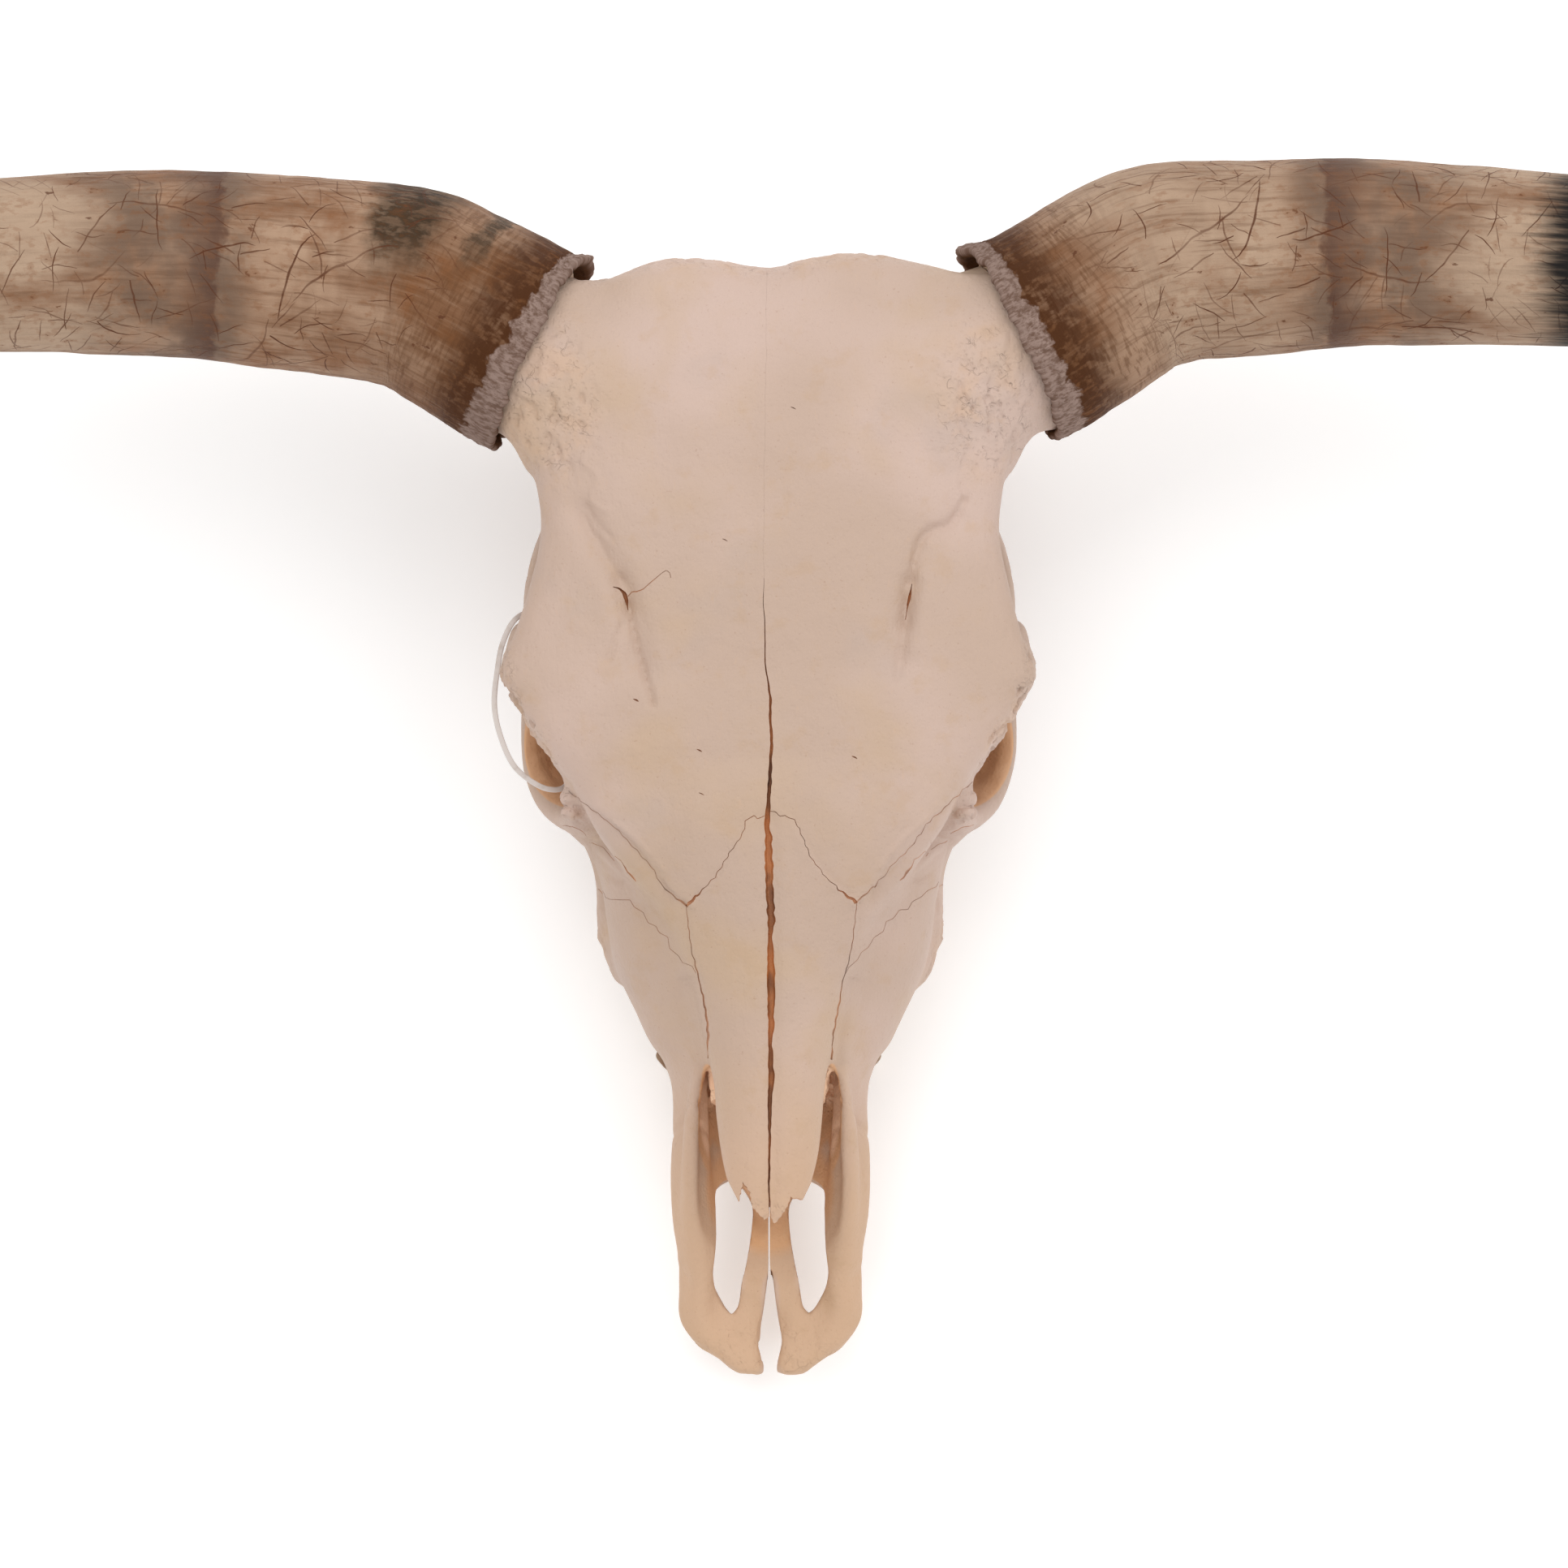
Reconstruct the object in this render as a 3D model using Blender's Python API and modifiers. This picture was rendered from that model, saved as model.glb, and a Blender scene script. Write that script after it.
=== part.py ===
"""A life-size bull skull with its long horns, without the lower jaw, lying on its cheek teeth.

Lengths are in millimetres and are turned into metres as each mesh is made. +Z is up, the nose
points to -Y and the horns spread along X. Along the skull, y = 0 is the rear edge of the poll and
the measures run forward to the tip of the nose. SKULL_MIDDLE_Y then centres the whole on the origin.
"""

import math
from functools import partial

import bmesh
import bpy
from mathutils import Matrix, Vector

MM = 0.001

# Driving sizes of the skull
SKULL_MIDDLE_Y = -231.5  # half way between the rear of the horns and the tip of the nose
SUTURE_GAP = 0.3  # clear space between two bones
FLOOR_Z = 0.0  # the cheek teeth and the two jugular processes stand here
TOOTH_LINE_Z = 18.0  # where the crowns leave the upper jaw
CREST_HALF_WIDTH = 114.0  # half the width of the forehead behind the eye sockets
WAIST_HALF_WIDTH = 108.5  # half the least width, between the horns and the eye sockets
EYEBROW_HALF_WIDTH = 128.0  # half the greatest width, over the eye sockets
FACE_HALF_WIDTH = 84.0  # half the width at the front of the eye sockets
SNOUT_HALF_WIDTH = 46.5  # half the width of the snout
NOSTRIL_HALF_WIDTH = 34.0  # half the width of the nasal cavity

# Driving sizes of the horns
HORN_RADIUS = 51.0  # at the rim of the sheath
HORN_WALL = 5.0  # thickness of the sheath near its rim
HORN_FIT = 3.0  # space between the sheath and the bone inside it
HORN_TAPER = 0.43  # share of the radius that a straight taper would lose by the tip
HORN_SHIFT = (3.5, 2.5)  # how far out and back the right rim sits, and the left one in and forward
CORE_SHARE = 0.56  # share of the sheath's length that the bone fills
HORN_PATH = (  # middle line of the right horn, from its rim to its tip
    (112, -34, 151),
    (145, -18.5, 152),
    (173, -6, 153),
    (212, 2, 156),
    (270, 7.5, 162),
    (320, 6.5, 170),
    (366, 3, 180),
    (430, -6, 199),
    (492, -21, 226),
    (548, -41, 263),
    (594, -64, 308),
    (626, -88, 360),
)
CORE_ROOT = (66, -56, 150)  # where the middle line starts, inside the forehead
CORE_ROOT_RADIUS = 37.0

# Meshing
VOXEL = 3.0
RING_POINTS = 28
STEPS_BETWEEN = 4
SKULL_TRIANGLES = 4600

BONE = ("bone", (0.71, 0.58, 0.47), 0.55)
TOOTH = ("tooth", (0.74, 0.66, 0.50), 0.35)
HORN = ("horn", (0.36, 0.27, 0.19), 0.42)
CORE = ("horn_core_bone", (0.60, 0.47, 0.34), 0.7)
NYLON = ("nylon", (0.78, 0.74, 0.72), 0.4)


def collection(name):
    made = bpy.data.collections.new(name)
    bpy.context.scene.collection.children.link(made)
    return made


def clear_scene():
    for obj in list(bpy.data.objects):
        bpy.data.objects.remove(obj, do_unlink=True)


def material(finish):
    """A plain Principled finish: (name, colour, roughness)."""
    name, colour, roughness = finish
    made = bpy.data.materials.get(name)
    if made is None:
        made = bpy.data.materials.new(name)
        made.use_nodes = True
        shader = made.node_tree.nodes["Principled BSDF"]
        shader.inputs["Base Color"].default_value = (*colour, 1.0)
        shader.inputs["Roughness"].default_value = roughness
        shader.inputs["Metallic"].default_value = 0.0
    return made


def placed(x, y, z):
    """A point of the skull, in millimetres, as a point of the scene, in metres."""
    return Vector((x, y - SKULL_MIDDLE_Y, z)) * MM


def new_object(name, mesh, group):
    obj = bpy.data.objects.new(name, mesh)
    group.objects.link(obj)
    return obj


def helper(obj):
    obj.hide_render = True
    obj.display_type = "WIRE"
    return obj


def smooth_row(rows, share):
    """The row of numbers at share 0..1 of a list of rows, on a curve through all of them."""
    place = share * (len(rows) - 1)
    i = min(int(place), len(rows) - 2)
    t = place - i
    before, start, end, after = (rows[max(0, min(len(rows) - 1, i + k))] for k in (-1, 0, 1, 2))
    mixed = []
    for a, b, c, d in zip(before, start, end, after):
        out, into = 0.5 * (c - a), 0.5 * (d - b)
        mixed.append(
            b + out * t + (3 * (c - b) - 2 * out - into) * t**2 + (2 * (b - c) + out + into) * t**3
        )
    return mixed


def beam(stations, power=2.6):
    """A bar along Y with a superelliptic section, as a bmesh.

    A station is (y, middle x, middle z, half width, half height).
    """
    made = bmesh.new()
    count = (len(stations) - 1) * STEPS_BETWEEN
    rings = []
    for k in range(count + 1):
        y, mid_x, mid_z, half_width, half_height = smooth_row(stations, k / count)
        ring = []
        for j in range(RING_POINTS):
            angle = 2 * math.pi * j / RING_POINTS
            c, s = math.cos(angle), math.sin(angle)
            across = math.copysign(abs(c) ** (2 / power), c) * max(half_width, 0.5)
            up = math.copysign(abs(s) ** (2 / power), s) * max(half_height, 0.5)
            ring.append(made.verts.new(placed(mid_x + across, y, mid_z + up)))
        rings.append(ring)
    for first, second in zip(rings, rings[1:]):
        for j in range(RING_POINTS):
            k = (j + 1) % RING_POINTS
            made.faces.new((first[j], first[k], second[k], second[j]))
    made.faces.new(rings[0])
    made.faces.new(list(reversed(rings[-1])))
    bmesh.ops.recalc_face_normals(made, faces=made.faces)
    return made


def ellipsoid(centre, radii, turn_x=0.0, turn_z=0.0):
    """A ball stretched to three radii, then turned about X and Z by degrees, as a bmesh."""
    made = bmesh.new()
    bmesh.ops.create_uvsphere(made, u_segments=24, v_segments=14, radius=1.0)
    cos_x, sin_x = math.cos(math.radians(turn_x)), math.sin(math.radians(turn_x))
    cos_z, sin_z = math.cos(math.radians(turn_z)), math.sin(math.radians(turn_z))
    for vert in made.verts:
        x, y, z = (a * b for a, b in zip(vert.co, radii))
        y, z = y * cos_x - z * sin_x, y * sin_x + z * cos_x
        x, y = x * cos_z - y * sin_z, x * sin_z + y * cos_z
        vert.co = placed(centre[0] + x, centre[1] + y, centre[2] + z)
    return made


def rod(points, radii, steps=4, sides=4, cyclic=False):
    """A round bar along a smooth line, as a curve object's mesh. sides is the bevel's resolution."""
    curve = bpy.data.curves.new("rod", "CURVE")
    curve.dimensions = "3D"
    curve.bevel_depth = MM
    curve.bevel_resolution = sides
    curve.use_fill_caps = True
    rows = [(*p, r) for p, r in zip(points, radii)]
    if cyclic:
        rows = [*rows, rows[0]]
    count = (len(rows) - 1) * steps
    line = [smooth_row(rows, k / count) for k in range(count + (0 if cyclic else 1))]
    spline = curve.splines.new("POLY")
    spline.points.add(len(line) - 1)
    for point, (x, y, z, r) in zip(spline.points, line):
        point.co = (*placed(x, y, z), 1.0)
        point.radius = r
    spline.use_cyclic_u = cyclic
    holder = bpy.data.objects.new("rod", curve)
    bpy.context.scene.collection.objects.link(holder)
    graph = bpy.context.evaluated_depsgraph_get()
    mesh = bpy.data.meshes.new_from_object(holder.evaluated_get(graph))
    bpy.data.objects.remove(holder)
    bpy.data.curves.remove(curve)
    made = bmesh.new()
    made.from_mesh(mesh)
    bpy.data.meshes.remove(mesh)
    bmesh.ops.remove_doubles(made, verts=made.verts, dist=1e-6)
    bmesh.ops.recalc_face_normals(made, faces=made.faces)
    return made


def block(corner, opposite):
    """A box between two corners, as a bmesh."""
    low, high = (tuple(map(pick, corner, opposite)) for pick in (min, max))
    made = bmesh.new()
    bmesh.ops.create_cube(made, size=1.0)
    for vert in made.verts:
        vert.co = placed(*(a + (b - a) * (c + 0.5) for a, b, c in zip(low, high, vert.co)))
    return made


def prism(outline, low, high, across="Z"):
    """An outline swept between two levels: (x, y) points for across Z, (y, z) points for across X."""
    made = bmesh.new()

    def point(pair, level):
        return placed(*pair, level) if across == "Z" else placed(level, *pair)

    bottom = [made.verts.new(point(pair, low)) for pair in outline]
    top = [made.verts.new(point(pair, high)) for pair in outline]
    made.faces.new(bottom)
    made.faces.new(list(reversed(top)))
    for i, start in enumerate(bottom):
        j = (i + 1) % len(bottom)
        made.faces.new((start, top[i], top[j], bottom[j]))
    bmesh.ops.recalc_face_normals(made, faces=made.faces)
    return made


def joined(name, shapes, group):
    """One object that holds several bmeshes, which may overlap."""
    mesh = bpy.data.meshes.new(name)
    whole = bmesh.new()
    for shape in shapes:
        part = bpy.data.meshes.new("part")
        shape.to_mesh(part)
        shape.free()
        whole.from_mesh(part)
        bpy.data.meshes.remove(part)
    whole.to_mesh(mesh)
    whole.free()
    return new_object(name, mesh, group)


def both_sides(make):
    """The shapes that make(side) gives for the right (+1) and the left (-1)."""
    return [shape for side in (1, -1) for shape in make(side)]


def bake(obj):
    """Puts an object's modifiers into its mesh."""
    graph = bpy.context.evaluated_depsgraph_get()
    mesh = bpy.data.meshes.new_from_object(obj.evaluated_get(graph))
    obj.modifiers.clear()
    obj.data = mesh
    return obj


def boolean(obj, cutter, operation, solver="EXACT"):
    modifier = obj.modifiers.new(operation.lower(), "BOOLEAN")
    modifier.operation = operation
    modifier.object = cutter
    modifier.solver = solver
    return bake(obj)


def remeshed(obj, voxel=VOXEL, smooth_steps=0):
    """Joins what overlaps in an object into one closed skin."""
    modifier = obj.modifiers.new("skin", "REMESH")
    modifier.mode = "VOXEL"
    modifier.voxel_size = voxel * MM
    if smooth_steps:
        soften = obj.modifiers.new("soften", "SMOOTH")
        soften.factor = 0.5
        soften.iterations = smooth_steps
    return bake(obj)


# ---------------------------------------------------------------- the solid masses of the skull


def forehead():
    """The broad plate of the two frontal bones, from the poll to the root of the nose."""
    crest, waist, brow, face = CREST_HALF_WIDTH, WAIST_HALF_WIDTH, EYEBROW_HALF_WIDTH, FACE_HALF_WIDTH
    return [
        beam(
            (
                (3, 0, 168, 76, 8),
                (-7, 0, 168, 98, 20),
                (-34, 0, 168, crest - 4, 25),
                (-72, 0, 167, crest, 26),
                (-98, 0, 166, waist + 2, 25),
                (-124, 0, 165, waist, 24),
                (-150, 0, 163, waist + 5, 23),
                (-172, 0, 162, brow - 7, 21),
                (-191, 0, 161, brow, 19),
                (-208, 0, 160, brow - 7, 19),
                (-228, 0, 156, brow - 22, 20),
                (-246, 0, 152, 97, 21),
                (-264, 0, 147, face + 1, 22),
                (-284, 0, 140, 74, 24),
            ),
            power=2.9,
        )
    ]


def poll_bumps(side):
    return [ellipsoid((side * 42, -9, 176), (34, 13, 13))]


def braincase():
    return [
        beam(
            (
                (-14, 0, 112, 80, 58),
                (-50, 0, 112, 86, 62),
                (-90, 0, 114, 72, 60),
                (-130, 0, 118, 58, 56),
                (-170, 0, 120, 50, 52),
                (-210, 0, 114, 50, 54),
                (-250, 0, 104, 60, 60),
            ),
            power=2.4,
        )
    ]


def occiput():
    """The upright rear wall, with the thick mastoid corners."""
    return [
        beam(
            ((-6, 0, 126, 76, 42), (-16, 0, 114, 92, 58), (-36, 0, 110, 97, 60), (-62, 0, 108, 94, 52)),
            power=3.0,
        )
    ]


def rear_details(side):
    """Condyle, jugular process, ear region, muscle knob and horn root of one side."""
    return [
        ellipsoid((side * 33, -9, 50), (19, 16, 27), turn_z=side * 28),
        rod(((side * 28, -36, 62), (side * 32, -14, 54)), (22, 18), steps=2),
        rod(
            ((side * 80, -38, 88), (side * 77, -44, 52), (side * 71, -47, 22), (side * 66, -46, -3)),
            (17, 12, 9, 6.5),
        ),
        beam(
            ((-14, side * 88, 88, 9, 22), (-34, side * 95, 82, 17, 26), (-62, side * 97, 82, 19, 24), (-92, side * 93, 84, 18, 18), (-108, side * 90, 86, 10, 9)),
            power=2.4,
        ),
        rod(((side * 88, -70, 78), (side * 99, -66, 66)), (12, 9), steps=2),
        ellipsoid((side * 47, -84, 46), (13, 20, 20)),
        ellipsoid((side * 18, -74, 42), (10, 14, 12)),
        ellipsoid((side * 102, -68, 152), (21, 27, 24)),
    ]


def skull_floor():
    """The bar of the basioccipital and sphenoid bones under the brain."""
    return [
        beam(
            ((-22, 0, 56, 26, 16), (-60, 0, 52, 24, 14), (-110, 0, 56, 20, 14), (-170, 0, 64, 18, 14), (-240, 0, 72, 18, 16))
        )
    ]


def wing_plates(side):
    """The upright palatine and pterygoid plate beside the rear nose opening."""
    return [
        beam(
            (
                (-158, side * 25, 62, 4.5, 22),
                (-180, side * 24, 48, 5, 26),
                (-215, side * 24, 46, 5.5, 26),
                (-262, side * 26, 44, 7, 20),
            ),
            power=2.4,
        )
    ]


def cheek_arch(side):
    """The cheek bone: the lower rim of the eye socket and the bridge back to the ear."""
    return [
        rod(
            (
                (side * 88, -92, 90),
                (side * 104, -112, 89),
                (side * 110, -138, 96),
                (side * 112, -166, 98),
                (side * 112.5, -192, 91),
                (side * 110.5, -216, 88),
                (side * 104.5, -238, 89),
                (side * 91, -253, 92),
                (side * 70, -266, 94),
            ),
            (13, 9, 8, 9, 8.5, 8.5, 9, 11, 17),
        ),
        rod(((side * 117, -172, 156), (side * 117, -167, 132), (side * 111, -163, 104)), (9, 6.5, 8.5)),
        ellipsoid((side * 88, -112, 80), (20, 12, 10)),
        ellipsoid((side * 69, -266, 84), (18, 24, 30)),
        rod(((side * 97, -245, 144), (side * 91, -252, 124), (side * 90, -250, 100)), (9, 7, 9)),
    ]


def face():
    """The upper jaws and the snout as one mass, the nasal cavity not yet cut."""
    half, snout = FACE_HALF_WIDTH, SNOUT_HALF_WIDTH
    return [
        beam(
            (
                (-240, 0, 88, half - 14, 56),
                (-262, 0, 86, half, 60),
                (-284, 0, 82, half, 58),
                (-306, 0, 77, half - 5, 57),
                (-324, 0, 74, half - 13, 55),
                (-345, 0, 71, half - 24, 52),
                (-368, 0, 68, snout + 5, 46),
                (-392, 0, 63, snout + 1, 38),
                (-420, 0, 57, snout, 32),
                (-446, 0, 50, snout - 0.5, 25),
                (-470, 0, 43, snout - 2, 18),
            ),
            power=2.7,
        ),
        beam(
            (
                (-240, 0, 142, 74, 28),
                (-270, 0, 140, 56, 28),
                (-300, 0, 133, 46, 28),
                (-330, 0, 127, 38, 26),
                (-360, 0, 121, 31, 25),
                (-392, 0, 117, 25, 20),
                (-420, 0, 116, 22, 13),
                (-440, 0, 114, 15, 9),
                (-452, 0, 113, 6, 5),
            ),
            power=2.3,
        ),
    ]


def face_details(side):
    """Face knob, tooth-bearing ridge and crowns of one side."""
    return [
        ellipsoid((side * 71, -303, 52), (11, 24, 13)),
        beam(
            (
                (-231, side * 54, 36, 12, 15),
                (-270, side * 55, 33, 14, 14),
                (-320, side * 52, 33, 13, 14),
                (-372, side * 43, 33, 10, 11),
            )
        ),
    ]


def tooth_row(side):
    """Six cheek teeth, from the last molar to the first premolar."""
    lengths = (27, 26, 24, 19, 18, 16)
    shapes = []
    y = -236.0
    for i, length in enumerate(lengths):
        middle = y - length / 2
        half_width = 12.5 - 0.75 * i
        x = side * (54 - 0.10 * (i - 1.5) ** 2 - 1.6 * max(0, i - 1))
        crown = ((y + 1.0, x, 12, half_width - 2, 14), (middle, x, 12, half_width, 15), (y - length - 1.0, x, 12, half_width - 2, 14))
        shapes.append(beam(crown, power=4.0))
        y -= length
    return shapes


def premaxilla_parts(side):
    """The flat front plate of the snout, its outer limb and its slim inner limb."""
    return [
        rod(
            (
                (side * 39.5, -398, 92),
                (side * 40.5, -430, 74),
                (side * 39.5, -456, 55),
                (side * 37, -478, 42),
                (side * 34.5, -492, 36),
            ),
            (5.5, 6, 6.5, 7, 8),
        ),
        beam(
            (
                (-478, side * 34, 33, 8.5, 5),
                (-488, side * 28, 33, 16, 6.5),
                (-496, side * 21.5, 33, 18, 6.5),
                (-506, side * 16, 33, 12.5, 6.5),
                (-516, side * 9.5, 33, 6.5, 5),
            ),
            power=3.0,
        ),
        rod(
            ((side * 4.2, -425, 36), (side * 5.2, -455, 35), (side * 8.5, -475, 34), (side * 11, -494, 33)),
            (3.6, 4.2, 5, 6),
        ),
    ]


# ---------------------------------------------------------------- the hollows of the skull


def nasal_cavity():
    half = NOSTRIL_HALF_WIDTH
    return [
        beam(
            (
                (-296, 0, 96, 18, 34),
                (-320, 0, 93, 26, 42),
                (-350, 0, 87, 30, 43),
                (-380, 0, 80, half, 44),
                (-410, 0, 75, half, 39),
                (-440, 0, 72, half, 37),
                (-480, 0, 74, half - 4, 36),
                (-560, 0, 78, half - 4, 40),
            ),
            power=3.0,
        )
    ]


def palate_slit(side):
    """The open slit in the floor of the snout, between the two limbs of the premaxilla."""
    return [
        beam(
            (
                (-421, side * 18, 34, 4, 26),
                (-432, side * 18.5, 34, 9.5, 26),
                (-456, side * 18.5, 34, 9, 26),
                (-474, side * 19, 34, 6, 26),
                (-486, side * 18, 34, 1.5, 26),
            ),
            power=2.4,
        )
    ]


def snout_middle_slit():
    return [beam(((-462, 0, 34, 0.6, 26), (-484, 0, 34, 3.2, 26), (-504, 0, 34, 4.4, 26), (-530, 0, 34, 3, 26)), power=2.2)]


def eye_socket(side):
    return [
        ellipsoid((side * 104, -208, 125), (50, 34, 28), turn_z=side * -16),
        ellipsoid((side * 128, -214, 122), (34, 38, 27), turn_z=side * -10),
    ]


def temple_hollow(side):
    """The hollow for the jaw muscle, behind the eye socket and inside the cheek arch."""
    return [
        ellipsoid((side * 92, -138, 118), (30, 40, 24), turn_z=side * -8),
        ellipsoid((side * 80, -176, 88), (26, 44, 32)),
        ellipsoid((side * 124, -128, 126), (26, 30, 18)),
    ]


def underside_hollows():
    """The mouth's roof, the rear nose opening and the hole for the spinal cord."""
    return [
        beam(((-214, 0, 6, 34, 26), (-250, 0, 6, 38, 24), (-320, 0, 8, 37, 24), (-372, 0, 10, 30, 20), (-420, 0, 8, 24, 18)), power=3.2),
        beam(((-120, 0, 22, 16, 24), (-180, 0, 36, 18, 22), (-240, 0, 44, 18, 20), (-290, 0, 48, 14, 12)), power=2.6),
        rod(((0, 14, 70), (0, -26, 74), (0, -70, 84)), (19, 17, 14), steps=3),
    ]


def horn_radius(share):
    """The sheath's outer radius at a share of the horn's length."""
    return HORN_RADIUS * (1 - HORN_TAPER * share) * (1 - share**5) ** 0.8


def core_radius(share):
    """The radius of the bone inside, which ends in a blunt cone."""
    return (horn_radius(share) - HORN_WALL - HORN_FIT) * (1 - (share / CORE_SHARE) ** 3) ** 0.5


def horn_line(side, count, last_share=1.0):
    """(share, point) along the horn's middle line, from the rim outwards."""
    line = []
    for k in range(count + 1):
        share = last_share * k / count
        x, y, z = smooth_row(HORN_PATH, share)
        fade = 1 - share
        line.append((share, (side * x + HORN_SHIFT[0] * fade, y + side * HORN_SHIFT[1] * fade, z)))
    return line


def core_points(side, extra):
    """Points and radii of the bone core, made fatter by extra, with its root in the forehead."""
    line = horn_line(side, 10, CORE_SHARE * 0.985)
    points = [(side * CORE_ROOT[0], CORE_ROOT[1], CORE_ROOT[2])] + [p for _, p in line]
    radii = [CORE_ROOT_RADIUS + extra] + [core_radius(s) + extra for s, _ in line]
    end, before = Vector(points[-1]), Vector(points[-2])
    points[-1] = tuple(end + (end - before).normalized() * extra)
    return points, radii


def build_skull(parts, cutters):
    """The whole skull as one solid, cut flat where it stands on the floor."""
    shapes = forehead() + braincase() + occiput() + skull_floor() + face()
    for make in (poll_bumps, rear_details, wing_plates, cheek_arch, face_details, tooth_row, premaxilla_parts):
        shapes += both_sides(make)
    shapes += both_sides(lambda side: [rod(*core_points(side, 0.0), steps=2, sides=6)])
    skull = remeshed(joined("skull", shapes, parts))

    hollows = nasal_cavity() + underside_hollows() + snout_middle_slit()
    hollows += both_sides(eye_socket) + both_sides(temple_hollow)
    hollows += both_sides(palate_slit)
    hollow = helper(remeshed(joined("hollows", hollows, cutters)))
    boolean(skull, hollow, "DIFFERENCE")

    # The teeth stand in the mouth's roof cutter's way, so they go in once it has cut.
    teeth = helper(joined("crowns", both_sides(tooth_row), cutters))
    skull.data = merged_meshes(skull.data, teeth.data)
    remeshed(skull, smooth_steps=3)

    thin = skull.modifiers.new("coarse", "DECIMATE")
    thin.ratio = SKULL_TRIANGLES / (2 * len(skull.data.polygons))
    thin.use_symmetry = True
    thin.symmetry_axis = "X"
    bake(skull)
    ground = helper(joined("ground", [block((-200, -600, -40), (200, 60, FLOOR_Z))], cutters))
    return boolean(skull, ground, "DIFFERENCE")


def merged_meshes(first, second):
    made = bmesh.new()
    made.from_mesh(first)
    made.from_mesh(second)
    mesh = bpy.data.meshes.new(first.name)
    made.to_mesh(mesh)
    made.free()
    return mesh


# ---------------------------------------------------------------- the bones


# Where the sutures run. A row is the bone's name, the axis that its outline is swept along, the
# outline, the levels that the sweep runs between and whether the bone is one of a pair. An outline is
# (x, y) for a sweep along Z and (y, z) for one along X. The bones are parted in this order, so an
# outline matters only where no bone above it has taken the bone away.
MIDDLE = SUTURE_GAP / 2
BONE_REGIONS = (
    ("nasal", "Z", ((MIDDLE, -254), (6, -259), (20, -279), (40, -300), (34, -331), (30, -372), (27, -400), (24, -470), (MIDDLE, -470)), 0, 200, True),
    ("premaxilla", "X", ((-384, 112), (-396, 84), (-426, 56), (-456, 20), (-456, -20), (-560, -20), (-560, 112)), MIDDLE, 70, True),
    ("cheek_teeth", "X", ((-226, TOOTH_LINE_Z), (-384, TOOTH_LINE_Z), (-384, -20), (-226, -20)), 30, 76, True),
    ("zygomatic", "X", ((-300, 58), (-292, 88), (-262, 112), (-236, 118), (-190, 132), (-148, 134), (-139, 112), (-139, 58)), 69, 150, True),
    ("lacrimal", "Z", ((112, -238), (97, -245), (71, -269), (56, -284), (38, -300), (33, -331), (48, -311), (67, -287), (80, -273), (98, -259), (120, -258)), 96, 200, True),
    ("maxilla", "X", ((-252, -20), (-252, 62), (-266, 96), (-284, 126), (-299, 170), (-480, 170), (-480, -20)), MIDDLE, 120, True),
    ("skull_base", "X", ((-62, -20), (-62, 84), (-252, 84), (-252, -20)), -38, 38, False),
    ("occipital", "X", ((-58, -20), (-58, 158), (60, 158), (60, -20)), -140, 140, False),
    ("frontal", "X", ((-330, 128), (-330, 230), (60, 230), (60, 128)), MIDDLE, 190, True),
)
NASAL_UNDERSIDE = (216.8, 0.255)  # its level at y = 0 and its rise along Y
HORN_CUT = 4.0  # how far outside the sheath's rim the core is parted from the forehead


def bone_region(row, side, grow):
    """The solid that holds one bone, its cuts moved outwards by grow."""
    name, across, outline, low, high, _ = row
    made = prism(grown_outline(outline, grow), low - grow, high + grow, across)
    if name == "nasal":
        for vert in made.verts:
            if vert.co.z < 0.1:
                along = vert.co.y / MM + SKULL_MIDDLE_Y
                vert.co.z = (NASAL_UNDERSIDE[0] + NASAL_UNDERSIDE[1] * along - grow) * MM
    return mirrored(made, side)


def horn_core_region(side, grow):
    """A box that starts just outside the rim of the sheath and runs along the horn."""
    made = block((HORN_CUT - grow, -90, -90), (600, 90, 90))
    start, second = (Vector(point) for _, point in horn_line(side, 11)[:2])
    lean = math.atan2(second.y - start.y, side * (second.x - start.x))
    bmesh.ops.translate(made, verts=made.verts, vec=-placed(0, 0, 0))
    bmesh.ops.rotate(made, verts=made.verts, matrix=Matrix.Rotation(lean, 3, "Z"))
    bmesh.ops.translate(made, verts=made.verts, vec=placed(side * start.x, start.y, start.z))
    return mirrored(made, side)


def mirrored(made, side):
    """The bmesh itself for the right side (+1), or its mirror image for the left (-1)."""
    if side < 0:
        for vert in made.verts:
            vert.co.x = -vert.co.x
        bmesh.ops.reverse_faces(made, faces=made.faces)
    return made


def bone_regions():
    """(bone's name, function that makes its region for a growth) in the order they are parted."""
    sides = ((1, "_right"), (-1, "_left"))
    regions = [(f"horn_core{word}", partial(horn_core_region, side)) for side, word in sides]
    for row in BONE_REGIONS:
        for side, word in sides if row[-1] else ((1, ""),):
            regions.append((row[0] + word, partial(bone_region, row, side)))
    return regions


def grown_outline(outline, grow):
    """The outline moved outwards by grow, corner by corner."""
    area = sum(a[0] * b[1] - b[0] * a[1] for a, b in zip(outline, outline[1:] + outline[:1]))
    out = math.copysign(1.0, area)
    moved = []
    for i, here in enumerate(outline):
        before, after = Vector(outline[i - 1]), Vector(outline[(i + 1) % len(outline)])
        first, second = (Vector(here) - before).normalized(), (after - Vector(here)).normalized()
        normal = Vector((first.y + second.y, -first.x - second.x)).normalized() * out
        moved.append(tuple(Vector(here) + normal * grow))
    return moved


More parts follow.
